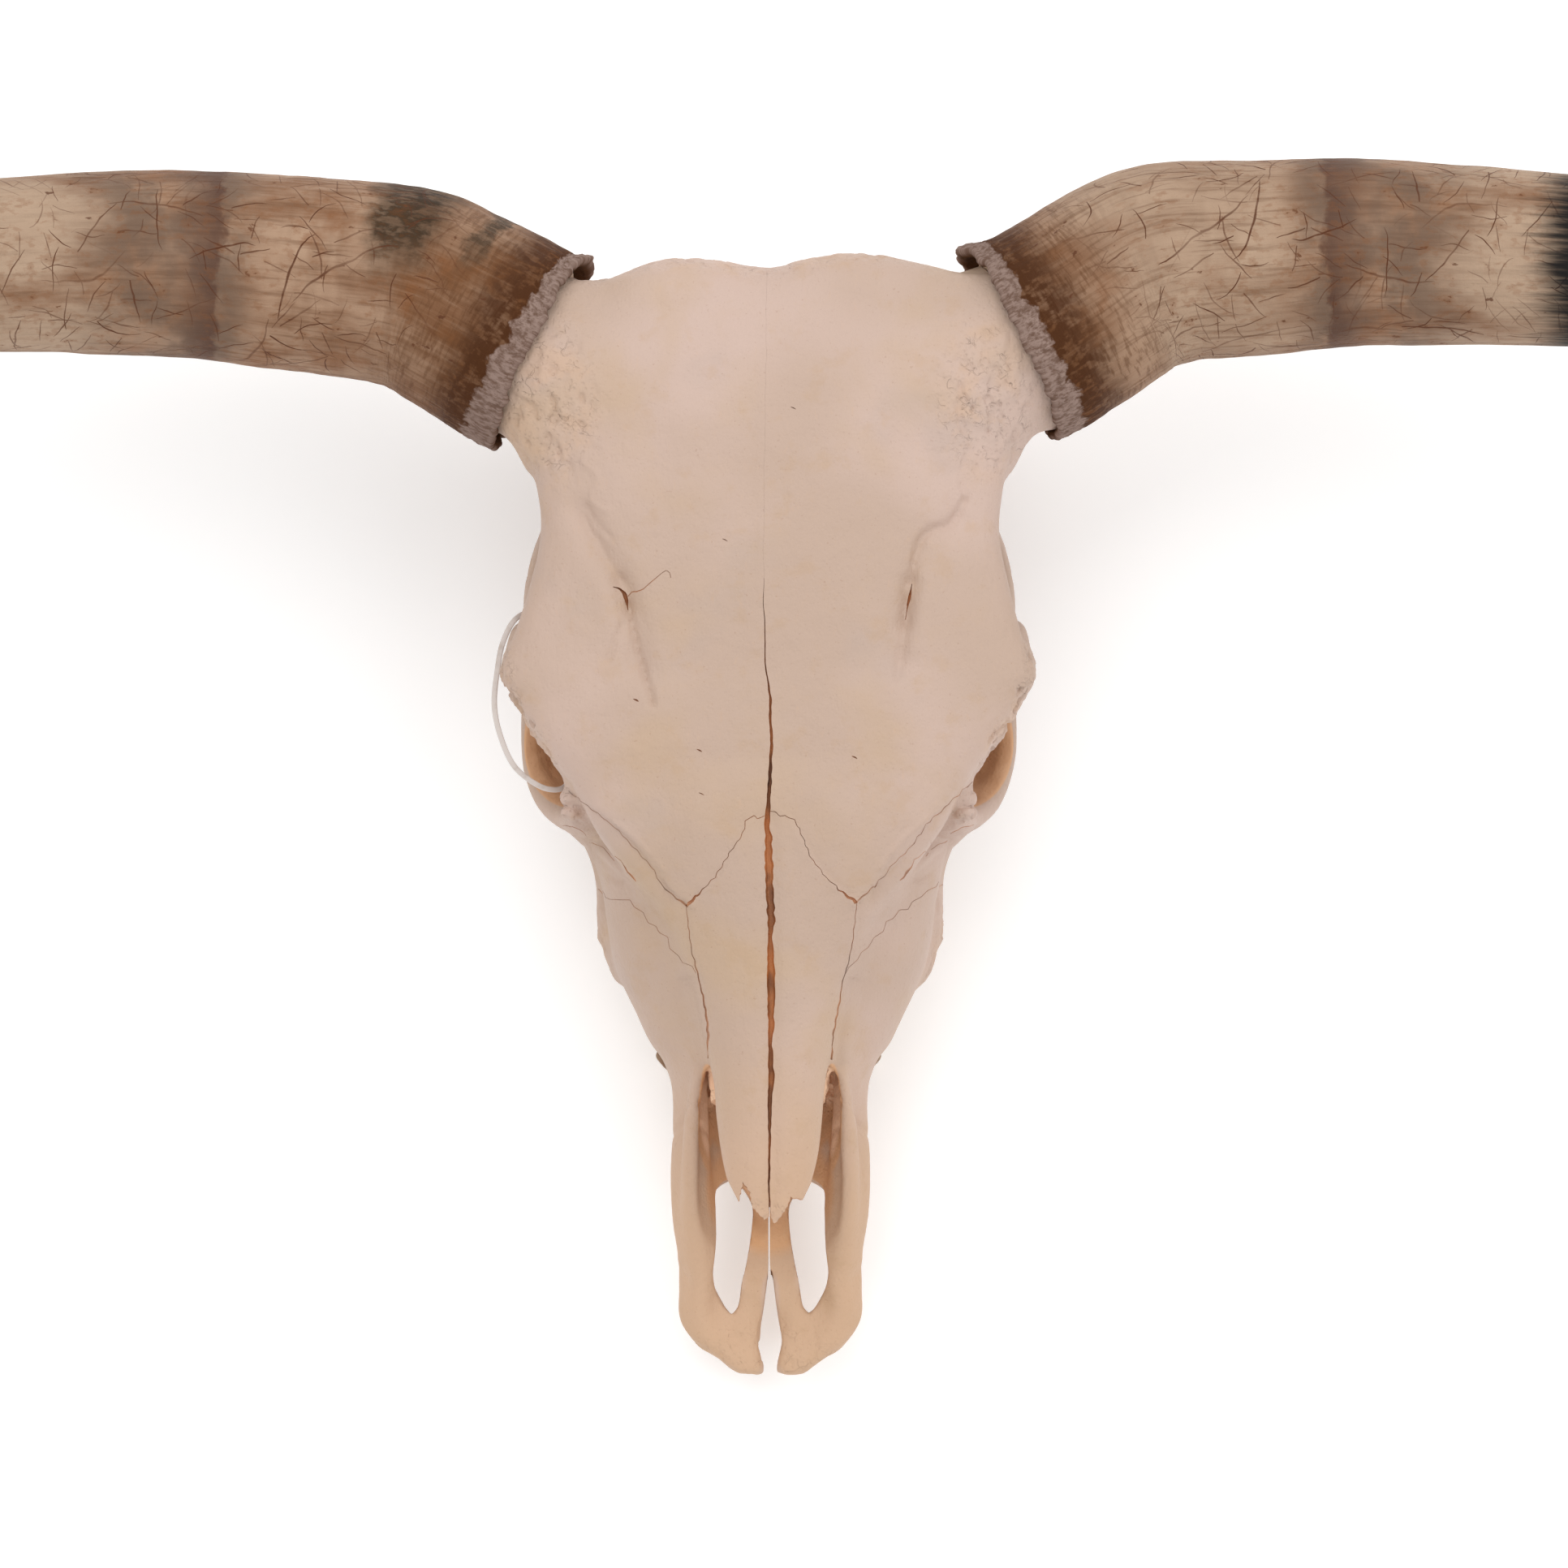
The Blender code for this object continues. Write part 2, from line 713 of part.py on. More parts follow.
def largest_piece(obj):
    """Keeps the largest connected piece of a mesh and drops crumbs."""
    made = bmesh.new()
    made.from_mesh(obj.data)
    left, pieces = set(made.verts), []
    while left:
        reached, front = set(), [left.pop()]
        while front:
            vert = front.pop()
            reached.add(vert)
            for edge in vert.link_edges:
                other = edge.other_vert(vert)
                if other in left:
                    left.discard(other)
                    front.append(other)
        pieces.append(reached)
    keep = max(pieces, key=len)
    bmesh.ops.delete(made, geom=[v for v in made.verts if v not in keep], context="VERTS")
    made.to_mesh(obj.data)
    made.free()


def part_bones(skull, parts, cutters):
    """Parts the skull into its bones with thin cuts along the sutures.

    The MANIFOLD solver makes these cuts, because EXACT leaves open edges beside the middle line.
    """
    for name, make in bone_regions():
        bone = new_object(name, skull.data.copy(), parts)
        region = helper(joined(f"region_{name}", [make(0.0)], cutters))
        boolean(bone, region, "INTERSECT", solver="MANIFOLD")
        wider = helper(joined(f"suture_{name}", [make(SUTURE_GAP)], cutters))
        boolean(skull, wider, "DIFFERENCE", solver="MANIFOLD")
        largest_piece(bone)
        finish = CORE if name.startswith("horn_core") else TOOTH if name.startswith("cheek") else BONE
        bone.data.materials.clear()
        bone.data.materials.append(material(finish))
    skull.name = "braincase"
    largest_piece(skull)
    skull.data.materials.clear()
    skull.data.materials.append(material(BONE))


def build_sheaths(parts, cutters):
    """The two horn sheaths, each a hollow cone that sits over its bone core."""
    for side, word in ((1, "right"), (-1, "left")):
        line = horn_line(side, 14, 0.992)
        outer = rod([p for _, p in line], [horn_radius(s) for s, _ in line], steps=1, sides=5)
        sheath = joined(f"horn_sheath_{word}", [outer], parts)
        points, radii = core_points(side, HORN_FIT)
        hollow = helper(joined(f"horn_hollow_{word}", [rod(points, radii, steps=1, sides=4)], cutters))
        boolean(sheath, hollow, "DIFFERENCE")
        sheath.data.materials.append(material(HORN))


def build_tie(parts):
    """The nylon tie looped through the left eye socket, round the bar behind it."""
    line = (
        (-127, -162, 143),
        (-130, -178, 146),
        (-131.5, -193, 146),
        (-130.5, -208, 143),
        (-125, -228, 138),
        (-114, -241, 134),
        (-102, -244, 130),
        (-93, -236, 126),
        (-91, -216, 122),
        (-96, -190, 120),
        (-104, -164, 122),
        (-112, -151, 128),
        (-121, -152, 137),
    )
    tie = joined("orbit_tie", [rod(line, [1.3] * len(line), steps=2, sides=1, cyclic=True)], parts)
    tie.data.materials.append(material(NYLON))


def main():
    clear_scene()
    parts, cutters = collection("bull_skull"), collection("cutters")
    skull = build_skull(parts, cutters)
    part_bones(skull, parts, cutters)
    build_sheaths(parts, cutters)
    build_tie(parts)


main()
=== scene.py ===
"""The looks of a bull skull with its horns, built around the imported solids.

Lengths are millimetres in the skull's own frame unless a name says otherwise: x runs to the right,
y = 0 is the rear edge of the poll and the nose points to -y, z is up from the floor. They are
turned into metres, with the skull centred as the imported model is, when a mesh is made.
"""

import logging
import math
from dataclasses import dataclass, field, replace
from enum import Enum
from typing import Callable, Iterable, Optional, Sequence

import bmesh
import bpy
import numpy as np
import openvdb
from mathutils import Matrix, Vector
from mathutils.bvhtree import BVHTree


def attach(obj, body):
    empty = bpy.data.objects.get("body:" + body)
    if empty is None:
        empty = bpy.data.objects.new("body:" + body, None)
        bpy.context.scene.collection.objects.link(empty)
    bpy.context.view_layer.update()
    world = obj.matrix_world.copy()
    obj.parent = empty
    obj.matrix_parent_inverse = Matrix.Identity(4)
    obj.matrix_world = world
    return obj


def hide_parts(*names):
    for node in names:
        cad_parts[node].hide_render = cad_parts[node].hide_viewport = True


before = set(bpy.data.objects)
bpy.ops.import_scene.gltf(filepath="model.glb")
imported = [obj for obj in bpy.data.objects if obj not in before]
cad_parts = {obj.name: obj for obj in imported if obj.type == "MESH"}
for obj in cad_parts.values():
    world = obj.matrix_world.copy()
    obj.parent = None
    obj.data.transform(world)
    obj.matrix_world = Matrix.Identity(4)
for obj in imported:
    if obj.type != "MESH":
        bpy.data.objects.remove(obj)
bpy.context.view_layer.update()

log = logging.getLogger("bull_skull")

Row = tuple[float, ...]
Rows = tuple[Row, ...]
Array = np.ndarray
Mesh = bpy.types.Mesh
Thing = bpy.types.Object
Material = bpy.types.Material

MM = 0.001
MIDDLE_Y = -231.5  # the skull's y that stands at the origin of the row frame
STEP = 1.25  # spacing of the distance grid
BODY = "root"
SIDES = ((1, "right"), (-1, "left"))


# ------------------------------------------------------------------ numbers, noise and meshes


def catmull(rows: Sequence[Row], steps: int, cyclic: bool = False) -> Array:
    """Fills in a list of rows on a smooth curve through all of them.

    Args:
        rows: The rows of numbers to pass through.
        steps: How many stretches to make between two rows.
        cyclic: Whether the last row leads back to the first.

    Returns:
        One line per point, with the columns of the rows.
    """
    table = np.array(rows, float)
    if cyclic:
        table = np.vstack([table[-1], table, table[0], table[1]])
    else:
        table = np.vstack([table[0], table, table[-1]])
    share = np.linspace(0, 1, steps, endpoint=False)[:, None]
    pieces = []
    for before, start, end, after in zip(table, table[1:], table[2:], table[3:]):
        out, into = 0.5 * (end - before), 0.5 * (after - start)
        square, cube = share**2, share**3
        bend, turn = 3 * (end - start) - 2 * out - into, 2 * (start - end) + out + into
        pieces.append(start + out * share + bend * square + turn * cube)
    if not cyclic:
        pieces.append(table[-2][None, :])
    return np.vstack(pieces)


def ramp(values: Array, low: float, high: float) -> Array:
    """A smooth step that rises from 0 at low to 1 at high."""
    share = np.clip((values - low) / (high - low), 0.0, 1.0)
    return share * share * (3 - 2 * share)


def unit(rows: Array) -> Array:
    """The same directions with length 1."""
    return rows / np.linalg.norm(rows, axis=1)[:, None]


def circle(count: int, first: Array, second: Array) -> Array:
    """Directions all round, from two that are square to each other."""
    turns = np.linspace(0, 2 * math.pi, count, endpoint=False)
    return np.cos(turns)[:, None] * first + np.sin(turns)[:, None] * second


class Lumps:
    """Smooth random bumps in space, the same on every run."""

    SIZE = 32

    def __init__(self, seed: int) -> None:
        """Draws the lattice of random heights for a seed."""
        drawn = np.random.default_rng(seed)
        self.heights = drawn.uniform(-1, 1, (self.SIZE,) * 3).astype(np.float32)
        self.turn = np.linalg.qr(drawn.normal(size=(3, 3)))[0]

    def __call__(self, points: Array, size: float, octaves: int = 1) -> Array:
        """Reads the bumps.

        Args:
            points: Points in millimetres, one per line.
            size: The distance between two bumps.
            octaves: How many layers, each half the size and height of the one before.

        Returns:
            A height from -1 to 1 for each point.
        """
        total, weight = np.zeros(len(points)), 0.0
        for octave in range(octaves):
            share = 0.5**octave
            place = (points @ self.turn + 71.3 * octave) / (size * share)
            low = np.floor(place).astype(int)
            t = place - low
            t = t * t * (3 - 2 * t)
            found = np.zeros(len(points))
            for corner in np.ndindex(2, 2, 2):
                weights = np.prod(np.where(corner, t, 1 - t), axis=1)
                i, j, k = ((low + corner) % self.SIZE).T
                found += weights * self.heights[i, j, k]
            total += share * found
            weight += share
        return total / weight


def to_frame(points: Array) -> Array:
    """Skull millimetres as metres of the row frame."""
    return (np.asarray(points, float) - (0.0, MIDDLE_Y, 0.0)) * MM


def to_skull(points: Array) -> Array:
    """Metres of the row frame as skull millimetres."""
    return np.asarray(points, float) / MM + (0.0, MIDDLE_Y, 0.0)


def mesh_from(name: str, points: Array, faces: Array) -> Mesh:
    """Makes a mesh of faces that all have the same number of corners.

    Args:
        name: The mesh's name.
        points: Skull millimetres, one point per line.
        faces: Indices of the corners, one face per line.

    Returns:
        The mesh, in metres of the row frame.
    """
    mesh = bpy.data.meshes.new(name)
    mesh.vertices.add(len(points))
    mesh.vertices.foreach_set("co", to_frame(points).astype(np.float32).ravel())
    mesh.loops.add(faces.size)
    mesh.loops.foreach_set("vertex_index", faces.astype(np.int32).ravel())
    mesh.polygons.add(len(faces))
    mesh.polygons.foreach_set("loop_start", np.arange(0, faces.size, faces.shape[1], dtype=np.int32))
    mesh.update(calc_edges=True)
    return mesh


def read_rows(items: bpy.types.bpy_prop_collection, name: str, width: int, kind: type = np.float32) -> Array:
    """One property of all items of a collection, so many numbers to a row."""
    flat = np.empty(len(items) * width, kind)
    items.foreach_get(name, flat)
    return flat.reshape(-1, width)


def corners_of(mesh: Mesh) -> Array:
    """The mesh's points in skull millimetres, one per line."""
    return to_skull(read_rows(mesh.vertices, "co", 3))


def normals_of(mesh: Mesh) -> Array:
    """The outward direction at each of the mesh's points."""
    return read_rows(mesh.vertex_normals, "vector", 3).astype(float)


def faces_of(mesh: Mesh) -> Array:
    """The indices of the corners of all faces, one after another."""
    return read_rows(mesh.loops, "vertex_index", 1, np.int32)[:, 0]


def move_corners(mesh: Mesh, points: Array) -> None:
    """Puts the mesh's points at new places, in skull millimetres."""
    mesh.vertices.foreach_set("co", to_frame(points).astype(np.float32).ravel())
    mesh.update()


def set_attribute(mesh: Mesh, name: str, domain: str, values: Array) -> None:
    """Stores one number per point ("POINT") or per face ("FACE") under a name."""
    found = mesh.attributes.get(name) or mesh.attributes.new(name, "FLOAT", domain)
    found.data.foreach_set("value", np.asarray(values, np.float32))


def read_attribute(mesh: Mesh, name: str, count: int) -> Array:
    """The numbers stored under a name, or zeros."""
    values = np.zeros(count, np.float32)
    found = mesh.attributes.get(name)
    if found:
        found.data.foreach_get("value", values)
    return values


def new_object(name: str, data: bpy.types.ID) -> Thing:
    """An object at the origin that holds a mesh, a curve, a light or a camera."""
    made = bpy.data.objects.new(name, data)
    bpy.context.scene.collection.objects.link(made)
    return made


def object_from(made: bmesh.types.BMesh, name: str) -> Thing:
    """An object of what was put together, all faces turned outwards."""
    bmesh.ops.recalc_face_normals(made, faces=made.faces)
    mesh = bpy.data.meshes.new(name)
    made.to_mesh(mesh)
    made.free()
    return new_object(name, mesh)


def wall_of(made: bmesh.types.BMesh, points: Sequence[Sequence[Row]]) -> list[list[bmesh.types.BMVert]]:
    """Adds rings of points with a wall of faces from each to the next.

    Args:
        made: What the rings are added to.
        points: Skull millimetres, ring by ring.

    Returns:
        The new corners, ring by ring.
    """
    rings = [[made.verts.new(tuple(spot)) for spot in to_frame(ring)] for ring in points]
    for first, second in zip(rings, rings[1:]):
        for i in range(len(first)):
            j = (i + 1) % len(first)
            made.faces.new((first[i], first[j], second[j], second[i]))
    return rings


def cutter_from(made: bmesh.types.BMesh, name: str, stain: float) -> Thing:
    """A cutter of triangles whose faces all bear the mark of a cut."""
    bmesh.ops.triangulate(made, faces=made.faces)
    tool = object_from(made, name)
    set_attribute(tool.data, "cut", "FACE", np.full(len(tool.data.polygons), stain))
    return tool


def curve_object(name: str, points: Array, cyclic: bool = False) -> Thing:
    """A line through points, as a curve object in metres.

    Args:
        name: The object's name.
        points: Skull millimetres, one point per line.
        cyclic: Whether the line is closed.

    Returns:
        The object.
    """
    curve = bpy.data.curves.new(name, "CURVE")
    curve.dimensions = "3D"
    spline = curve.splines.new("POLY")
    spline.points.add(len(points) - 1)
    rows = np.column_stack([to_frame(points), np.ones(len(points))])
    spline.points.foreach_set("co", rows.astype(np.float32).ravel())
    spline.use_cyclic_u = cyclic
    return new_object(name, curve)


def drop(*objects: Thing) -> None:
    """Removes helper objects together with their data."""
    for made in objects:
        data = made.data
        bpy.data.objects.remove(made)
        if isinstance(data, Mesh):
            bpy.data.meshes.remove(data)
        elif isinstance(data, bpy.types.Curve):
            bpy.data.curves.remove(data)


def bake(made: Thing) -> None:
    """Puts an object's modifiers into its mesh."""
    graph = bpy.context.evaluated_depsgraph_get()
    mesh = bpy.data.meshes.new_from_object(made.evaluated_get(graph))
    made.modifiers.clear()
    old, made.data = made.data, mesh
    mesh.name = made.name
    if isinstance(old, Mesh) and not old.users:
        bpy.data.meshes.remove(old)


def cut(made: Thing, tool: Thing, operation: str) -> None:
    """Runs one Boolean ("DIFFERENCE", "INTERSECT" or "UNION") and bakes it.

    Args:
        made: The object that changes.
        tool: The object that cuts.
        operation: The Boolean modifier's operation.
    """
    modifier = made.modifiers.new("cut", "BOOLEAN")
    modifier.operation = operation
    modifier.object = tool
    modifier.solver = "MANIFOLD"
    bake(made)


def largest_piece(mesh: Mesh) -> None:
    """Keeps the largest connected piece of a mesh and drops crumbs."""
    count = len(mesh.vertices)
    first, second = read_rows(mesh.edges, "vertices", 2, np.int32).T
    label = np.arange(count)
    while True:
        low = np.minimum(label[first], label[second])
        before = label.copy()
        np.minimum.at(label, first, low)
        np.minimum.at(label, second, low)
        label = label[label]
        if np.array_equal(before, label):
            break
    names, sizes = np.unique(label, return_counts=True)
    if len(names) == 1:
        return
    gone = np.flatnonzero(label != names[sizes.argmax()])
    made = bmesh.new()
    made.from_mesh(mesh)
    made.verts.ensure_lookup_table()
    bmesh.ops.delete(made, geom=[made.verts[i] for i in gone], context="VERTS")
    made.to_mesh(mesh)
    made.free()


# ------------------------------------------------------------------ shapes as distances


@dataclass(frozen=True)
class Beam:
    """A bar along Y with a superelliptic section.

    A station is (y, middle x, middle z, half width, half height).
    """

    MARGIN = 3.0  # room for what the smooth line adds between stations

    stations: Rows
    power: float = 2.6
    rounding: float = 6.0

    def box(self) -> tuple[Array, Array]:
        """Its lowest and highest corner."""
        y, x, z, half_width, half_height = np.array(self.stations).T
        low = np.array([(x - half_width).min(), y.min(), (z - half_height).min()])
        high = np.array([(x + half_width).max(), y.max(), (z + half_height).max()])
        return low - self.MARGIN, high + self.MARGIN

    def distance(self, x: Array, y: Array, z: Array) -> Array:
        """How far each point of a grid is outside the bar, negative inside it."""
        rows = catmull(self.stations, 10)
        rows = rows[np.argsort(rows[:, 0])]
        mid_x, mid_z, wide, high = (
            np.interp(y.ravel(), rows[:, 0], rows[:, column])[None, :, None].astype(np.float32)
            for column in (1, 2, 3, 4)
        )
        wide, high = np.maximum(wide, 0.5), np.maximum(high, 0.5)
        u, v = np.abs((x - mid_x) / wide) + 1e-4, np.abs((z - mid_z) / high) + 1e-4
        p = self.power
        up, vp = u ** (p - 1), v ** (p - 1)
        level = (up * u + vp * v) ** (1 / p)
        slope = np.sqrt((up / wide) ** 2 + (vp / high) ** 2) / level ** (p - 1)
        side = (level - 1) / slope
        return blend_max(blend_max(side, y - rows[-1, 0], self.rounding), rows[0, 0] - y, self.rounding)


@dataclass(frozen=True)
class Ball:
    """An ellipsoid, turned about X and then about Z by degrees."""

    centre: Row
    radii: Row
    turn_x: float = 0.0
    turn_z: float = 0.0

    def box(self) -> tuple[Array, Array]:
        """Its lowest and highest corner, with room for its turns."""
        reach = np.array(self.radii, float)
        if self.turn_x or self.turn_z:
            reach = np.full(3, reach.max())
        return np.array(self.centre) - reach, np.array(self.centre) + reach

    def distance(self, x: Array, y: Array, z: Array) -> Array:
        """How far each point of a grid is outside the ellipsoid, negative inside it."""
        x, y, z = x - self.centre[0], y - self.centre[1], z - self.centre[2]
        cos_z, sin_z = math.cos(math.radians(self.turn_z)), math.sin(math.radians(self.turn_z))
        cos_x, sin_x = math.cos(math.radians(self.turn_x)), math.sin(math.radians(self.turn_x))
        x, y = x * cos_z + y * sin_z, y * cos_z - x * sin_z
        y, z = y * cos_x + z * sin_x, z * cos_x - y * sin_x
        a, b, c = self.radii
        level = np.sqrt((x / a) ** 2 + (y / b) ** 2 + (z / c) ** 2) + 1e-5
        slope = np.sqrt((x / a**2) ** 2 + (y / b**2) ** 2 + (z / c**2) ** 2) + 1e-7
        return level * (level - 1) / slope


@dataclass(frozen=True)
class Rod:
    """A round bar along a smooth line, wider along each axis by its stretch."""

    points: Rows
    radii: Row
    stretch: Row = (1.0, 1.0, 1.0)
    cyclic: bool = False

    def line(self) -> Array:
        """Closely set points along it with their radius as the fourth column."""
        rows = [(*point, radius) for point, radius in zip(self.points, self.radii)]
        line = catmull(rows, 4, self.cyclic)
        return np.vstack([line, line[:1]]) if self.cyclic else line

    def box(self) -> tuple[Array, Array]:
        """Its lowest and highest corner."""
        line = self.line()
        reach = line[:, 3:] * np.array(self.stretch)
        return (line[:, :3] - reach).min(0), (line[:, :3] + reach).max(0)

    def distance(self, x: Array, y: Array, z: Array) -> Array:
        """How far each point of a grid is outside the bar, negative inside it."""
        scale = np.array([*self.stretch, 1.0])
        line = (self.line() / scale).astype(np.float32)
        x, y, z = (axis / s for axis, s in zip((x, y, z), self.stretch))
        nearest = None
        for start, end in zip(line, line[1:]):
            way = end[:3] - start[:3]
            length = max(float(way @ way), 1e-6)
            px, py, pz = x - start[0], y - start[1], z - start[2]
            share = np.clip((px * way[0] + py * way[1] + pz * way[2]) / length, 0, 1)
            far = (px - share * way[0]) ** 2 + (py - share * way[1]) ** 2 + (pz - share * way[2]) ** 2
            found = np.sqrt(far) - (start[3] + (end[3] - start[3]) * share)
            nearest = found if nearest is None else np.minimum(nearest, found)
        return nearest * min(self.stretch)


Shape = Beam | Ball | Rod


def blend_min(first: Array, second: Array, radius: float) -> Array:
    """The smaller of two distances, with the crease between them rounded."""
    if radius <= 0:
        return np.minimum(first, second)
    share = np.clip(0.5 + 0.5 * (second - first) / radius, 0, 1)
    return second + (first - second) * share - radius * share * (1 - share)


def blend_max(first: Array, second: Array, radius: float) -> Array:
    """The larger of two distances, with the crease between them rounded."""
    return -blend_min(-first, -second, radius)


class Work(Enum):
    """What a shape does to the bone."""

    JOIN = "join"
    CARVE = "carve"


@dataclass(frozen=True)
class Step:
    """One shape that is joined to the bone or carved from it, with a rounded crease."""

    work: Work
    shape: Shape
    crease: float


def join(shape: Shape, crease: float) -> Step:
    """A step that adds a shape."""
    return Step(Work.JOIN, shape, crease)


def carve(shape: Shape, crease: float) -> Step:
    """A step that takes a shape away."""
    return Step(Work.CARVE, shape, crease)


@dataclass
class DistanceGrid:
    """Signed distances on a regular grid, of which only the right half is worked out."""

    EMPTY = 40.0  # the distance where nothing is near
    BAND = 4.0  # how far from the surface distances matter to it

    low: Row
    high: Row
    spacing: float
    mirrored: bool = True

    def __post_init__(self) -> None:
        """Lays out the axes and fills the grid with empty space."""
        self.axes = [
            (np.arange(math.ceil((b - a) / self.spacing) + 1) * self.spacing + a).astype(np.float32)
            for a, b in zip(self.low, self.high)
        ]
        self.values = np.full([len(axis) for axis in self.axes], self.EMPTY, np.float32)

    def apply(self, steps: Iterable[Step]) -> None:
        """Works through a list of steps in order."""
        for step in steps:
            margin = step.crease + 2.5 * self.spacing
            low, high = step.shape.box()
            window = tuple(
                slice(*np.searchsorted(axis, (a - margin, b + margin)))
                for axis, a, b in zip(self.axes, low, high)
            )
            x, y, z = (axis[part] for axis, part in zip(self.axes, window))
            if not (len(x) and len(y) and len(z)):
                continue
            found = step.shape.distance(x[:, None, None], y[None, :, None], z[None, None, :])
            merge, other = (blend_min, found) if step.work is Work.JOIN else (blend_max, -found)
            self.values[window] = merge(self.values[window], other, step.crease)

    def surface(self) -> tuple[Array, Array]:
        """The points and four-cornered faces of the surface, mirrored to both sides if asked."""
        values, low = self.values, np.array(self.low, float)
        if self.mirrored:
            values = np.concatenate([values[:0:-1], values])
            low[0] = -float(self.axes[0][-1])
        grid = openvdb.FloatGrid(background=self.BAND)
        grid.copyFromArray(np.clip(values, -self.BAND, self.BAND))
        points, faces = grid.convertToQuads()
        return points.astype(float) * self.spacing + low, faces


# ------------------------------------------------------------------ the bone


HORN_PATH: Rows = (  # middle line of the right horn, from its rim to its tip
    (112, -34, 151), (145, -18.5, 152), (173, -6, 153), (212, 2, 156), (270, 7.5, 162), (320, 6.5, 170),
    (366, 3, 180), (430, -6, 199), (492, -21, 226), (548, -41, 263), (594, -64, 308), (626, -88, 360),
)
HORN_SHIFT = (3.5, 2.5)  # how far out and back the right rim sits, and the left one in and forward


@dataclass(frozen=True)
class Cranium:
    """The forehead, the brain's box, the rear wall and the roots of the horns."""

    crest: float = 114.0  # half the width behind the eye sockets
    waist: float = 108.5  # half the least width, between horns and eye sockets
    eyebrow: float = 126.5  # half the width over the eye sockets
    face: float = 84.0  # half the width in front of them

    def forehead(self) -> list[Step]:
        """The broad plate of the two frontal bones and the bulge of the poll."""
        stations = (
            (4, 0, 168, 78, 9), (-7, 0, 168, 98, 20), (-34, 0, 168, self.crest - 4, 25),
            (-72, 0, 167, self.crest, 26), (-98, 0, 166, self.waist + 2, 25), (-124, 0, 165, self.waist, 24),
            (-150, 0, 163, self.waist + 5, 23), (-172, 0, 162, self.eyebrow - 7, 21),
            (-191, 0, 161, self.eyebrow, 19), (-204, 0, 160, self.eyebrow - 8.5, 19),
            (-213, 0, 159, self.eyebrow - 13.5, 19), (-228, 0, 156, self.eyebrow - 23.5, 20),
            (-245, 0, 151, 91.5, 21), (-264, 0, 145, self.face - 3, 23), (-284, 0, 137, 66, 25),
            (-304, 0, 128, 51, 25), (-326, 0, 118, 40, 22),
        )
        return [
            join(Beam(stations, 2.9, 4), 0), join(Ball((42, -9, 177), (34, 13, 12)), 10),
            join(Rod(((66, -56, 150), (102, -40, 151), (124, -30, 151), (140, -22, 152)), (37, 42, 42.5, 42)), 16),
            join(Ball((102, -68, 152), (21, 27, 24)), 14),
        ]

    def brain_box(self) -> list[Step]:
        """The box behind the forehead, and the rear wall with its muscle marks."""
        box = (
            (-14, 0, 112, 80, 58), (-50, 0, 112, 86, 62), (-90, 0, 114, 72, 60), (-130, 0, 118, 58, 56),
            (-170, 0, 120, 50, 52), (-210, 0, 114, 50, 54), (-250, 0, 104, 60, 60),
        )
        wall = ((-5, 0, 126, 76, 42), (-16, 0, 114, 92, 58), (-36, 0, 110, 97, 60), (-62, 0, 108, 94, 52))
        return [
            join(Beam(box, 2.4), 14), join(Beam(wall, 3.0, 8), 10), carve(Ball((40, 6, 122), (30, 13, 32)), 12),
            carve(Ball((24, 4, 86), (18, 9, 12)), 8), carve(Ball((131, -90, 128), (17.5, 20.5, 45)), 3),
            join(Rod(((111, -60, 100), (116.5, -70, 98), (106, -84, 95)), (7, 6.5, 6)), 5),
            join(Ball((0, -6, 136), (11, 8, 13)), 8),
            join(Rod(((0, -3, 136), (0, -5, 112), (0, -8, 96)), (4, 3, 3)), 5),
        ]

    def hollows(self) -> list[Step]:
        """The temple hollow behind the eye socket and the socket itself."""
        return [
            carve(Ball((92, -138, 118), (30, 40, 24), 0, -8), 10), carve(Ball((80, -176, 88), (26, 44, 32)), 10),
            carve(Ball((124, -128, 126), (26, 30, 18)), 8),
            carve(Ball((104, -208, 125), (50, 34, 28), 0, -16), 4),
            carve(Ball((128, -214, 122), (34, 38, 27), 0, -10), 3),
        ]


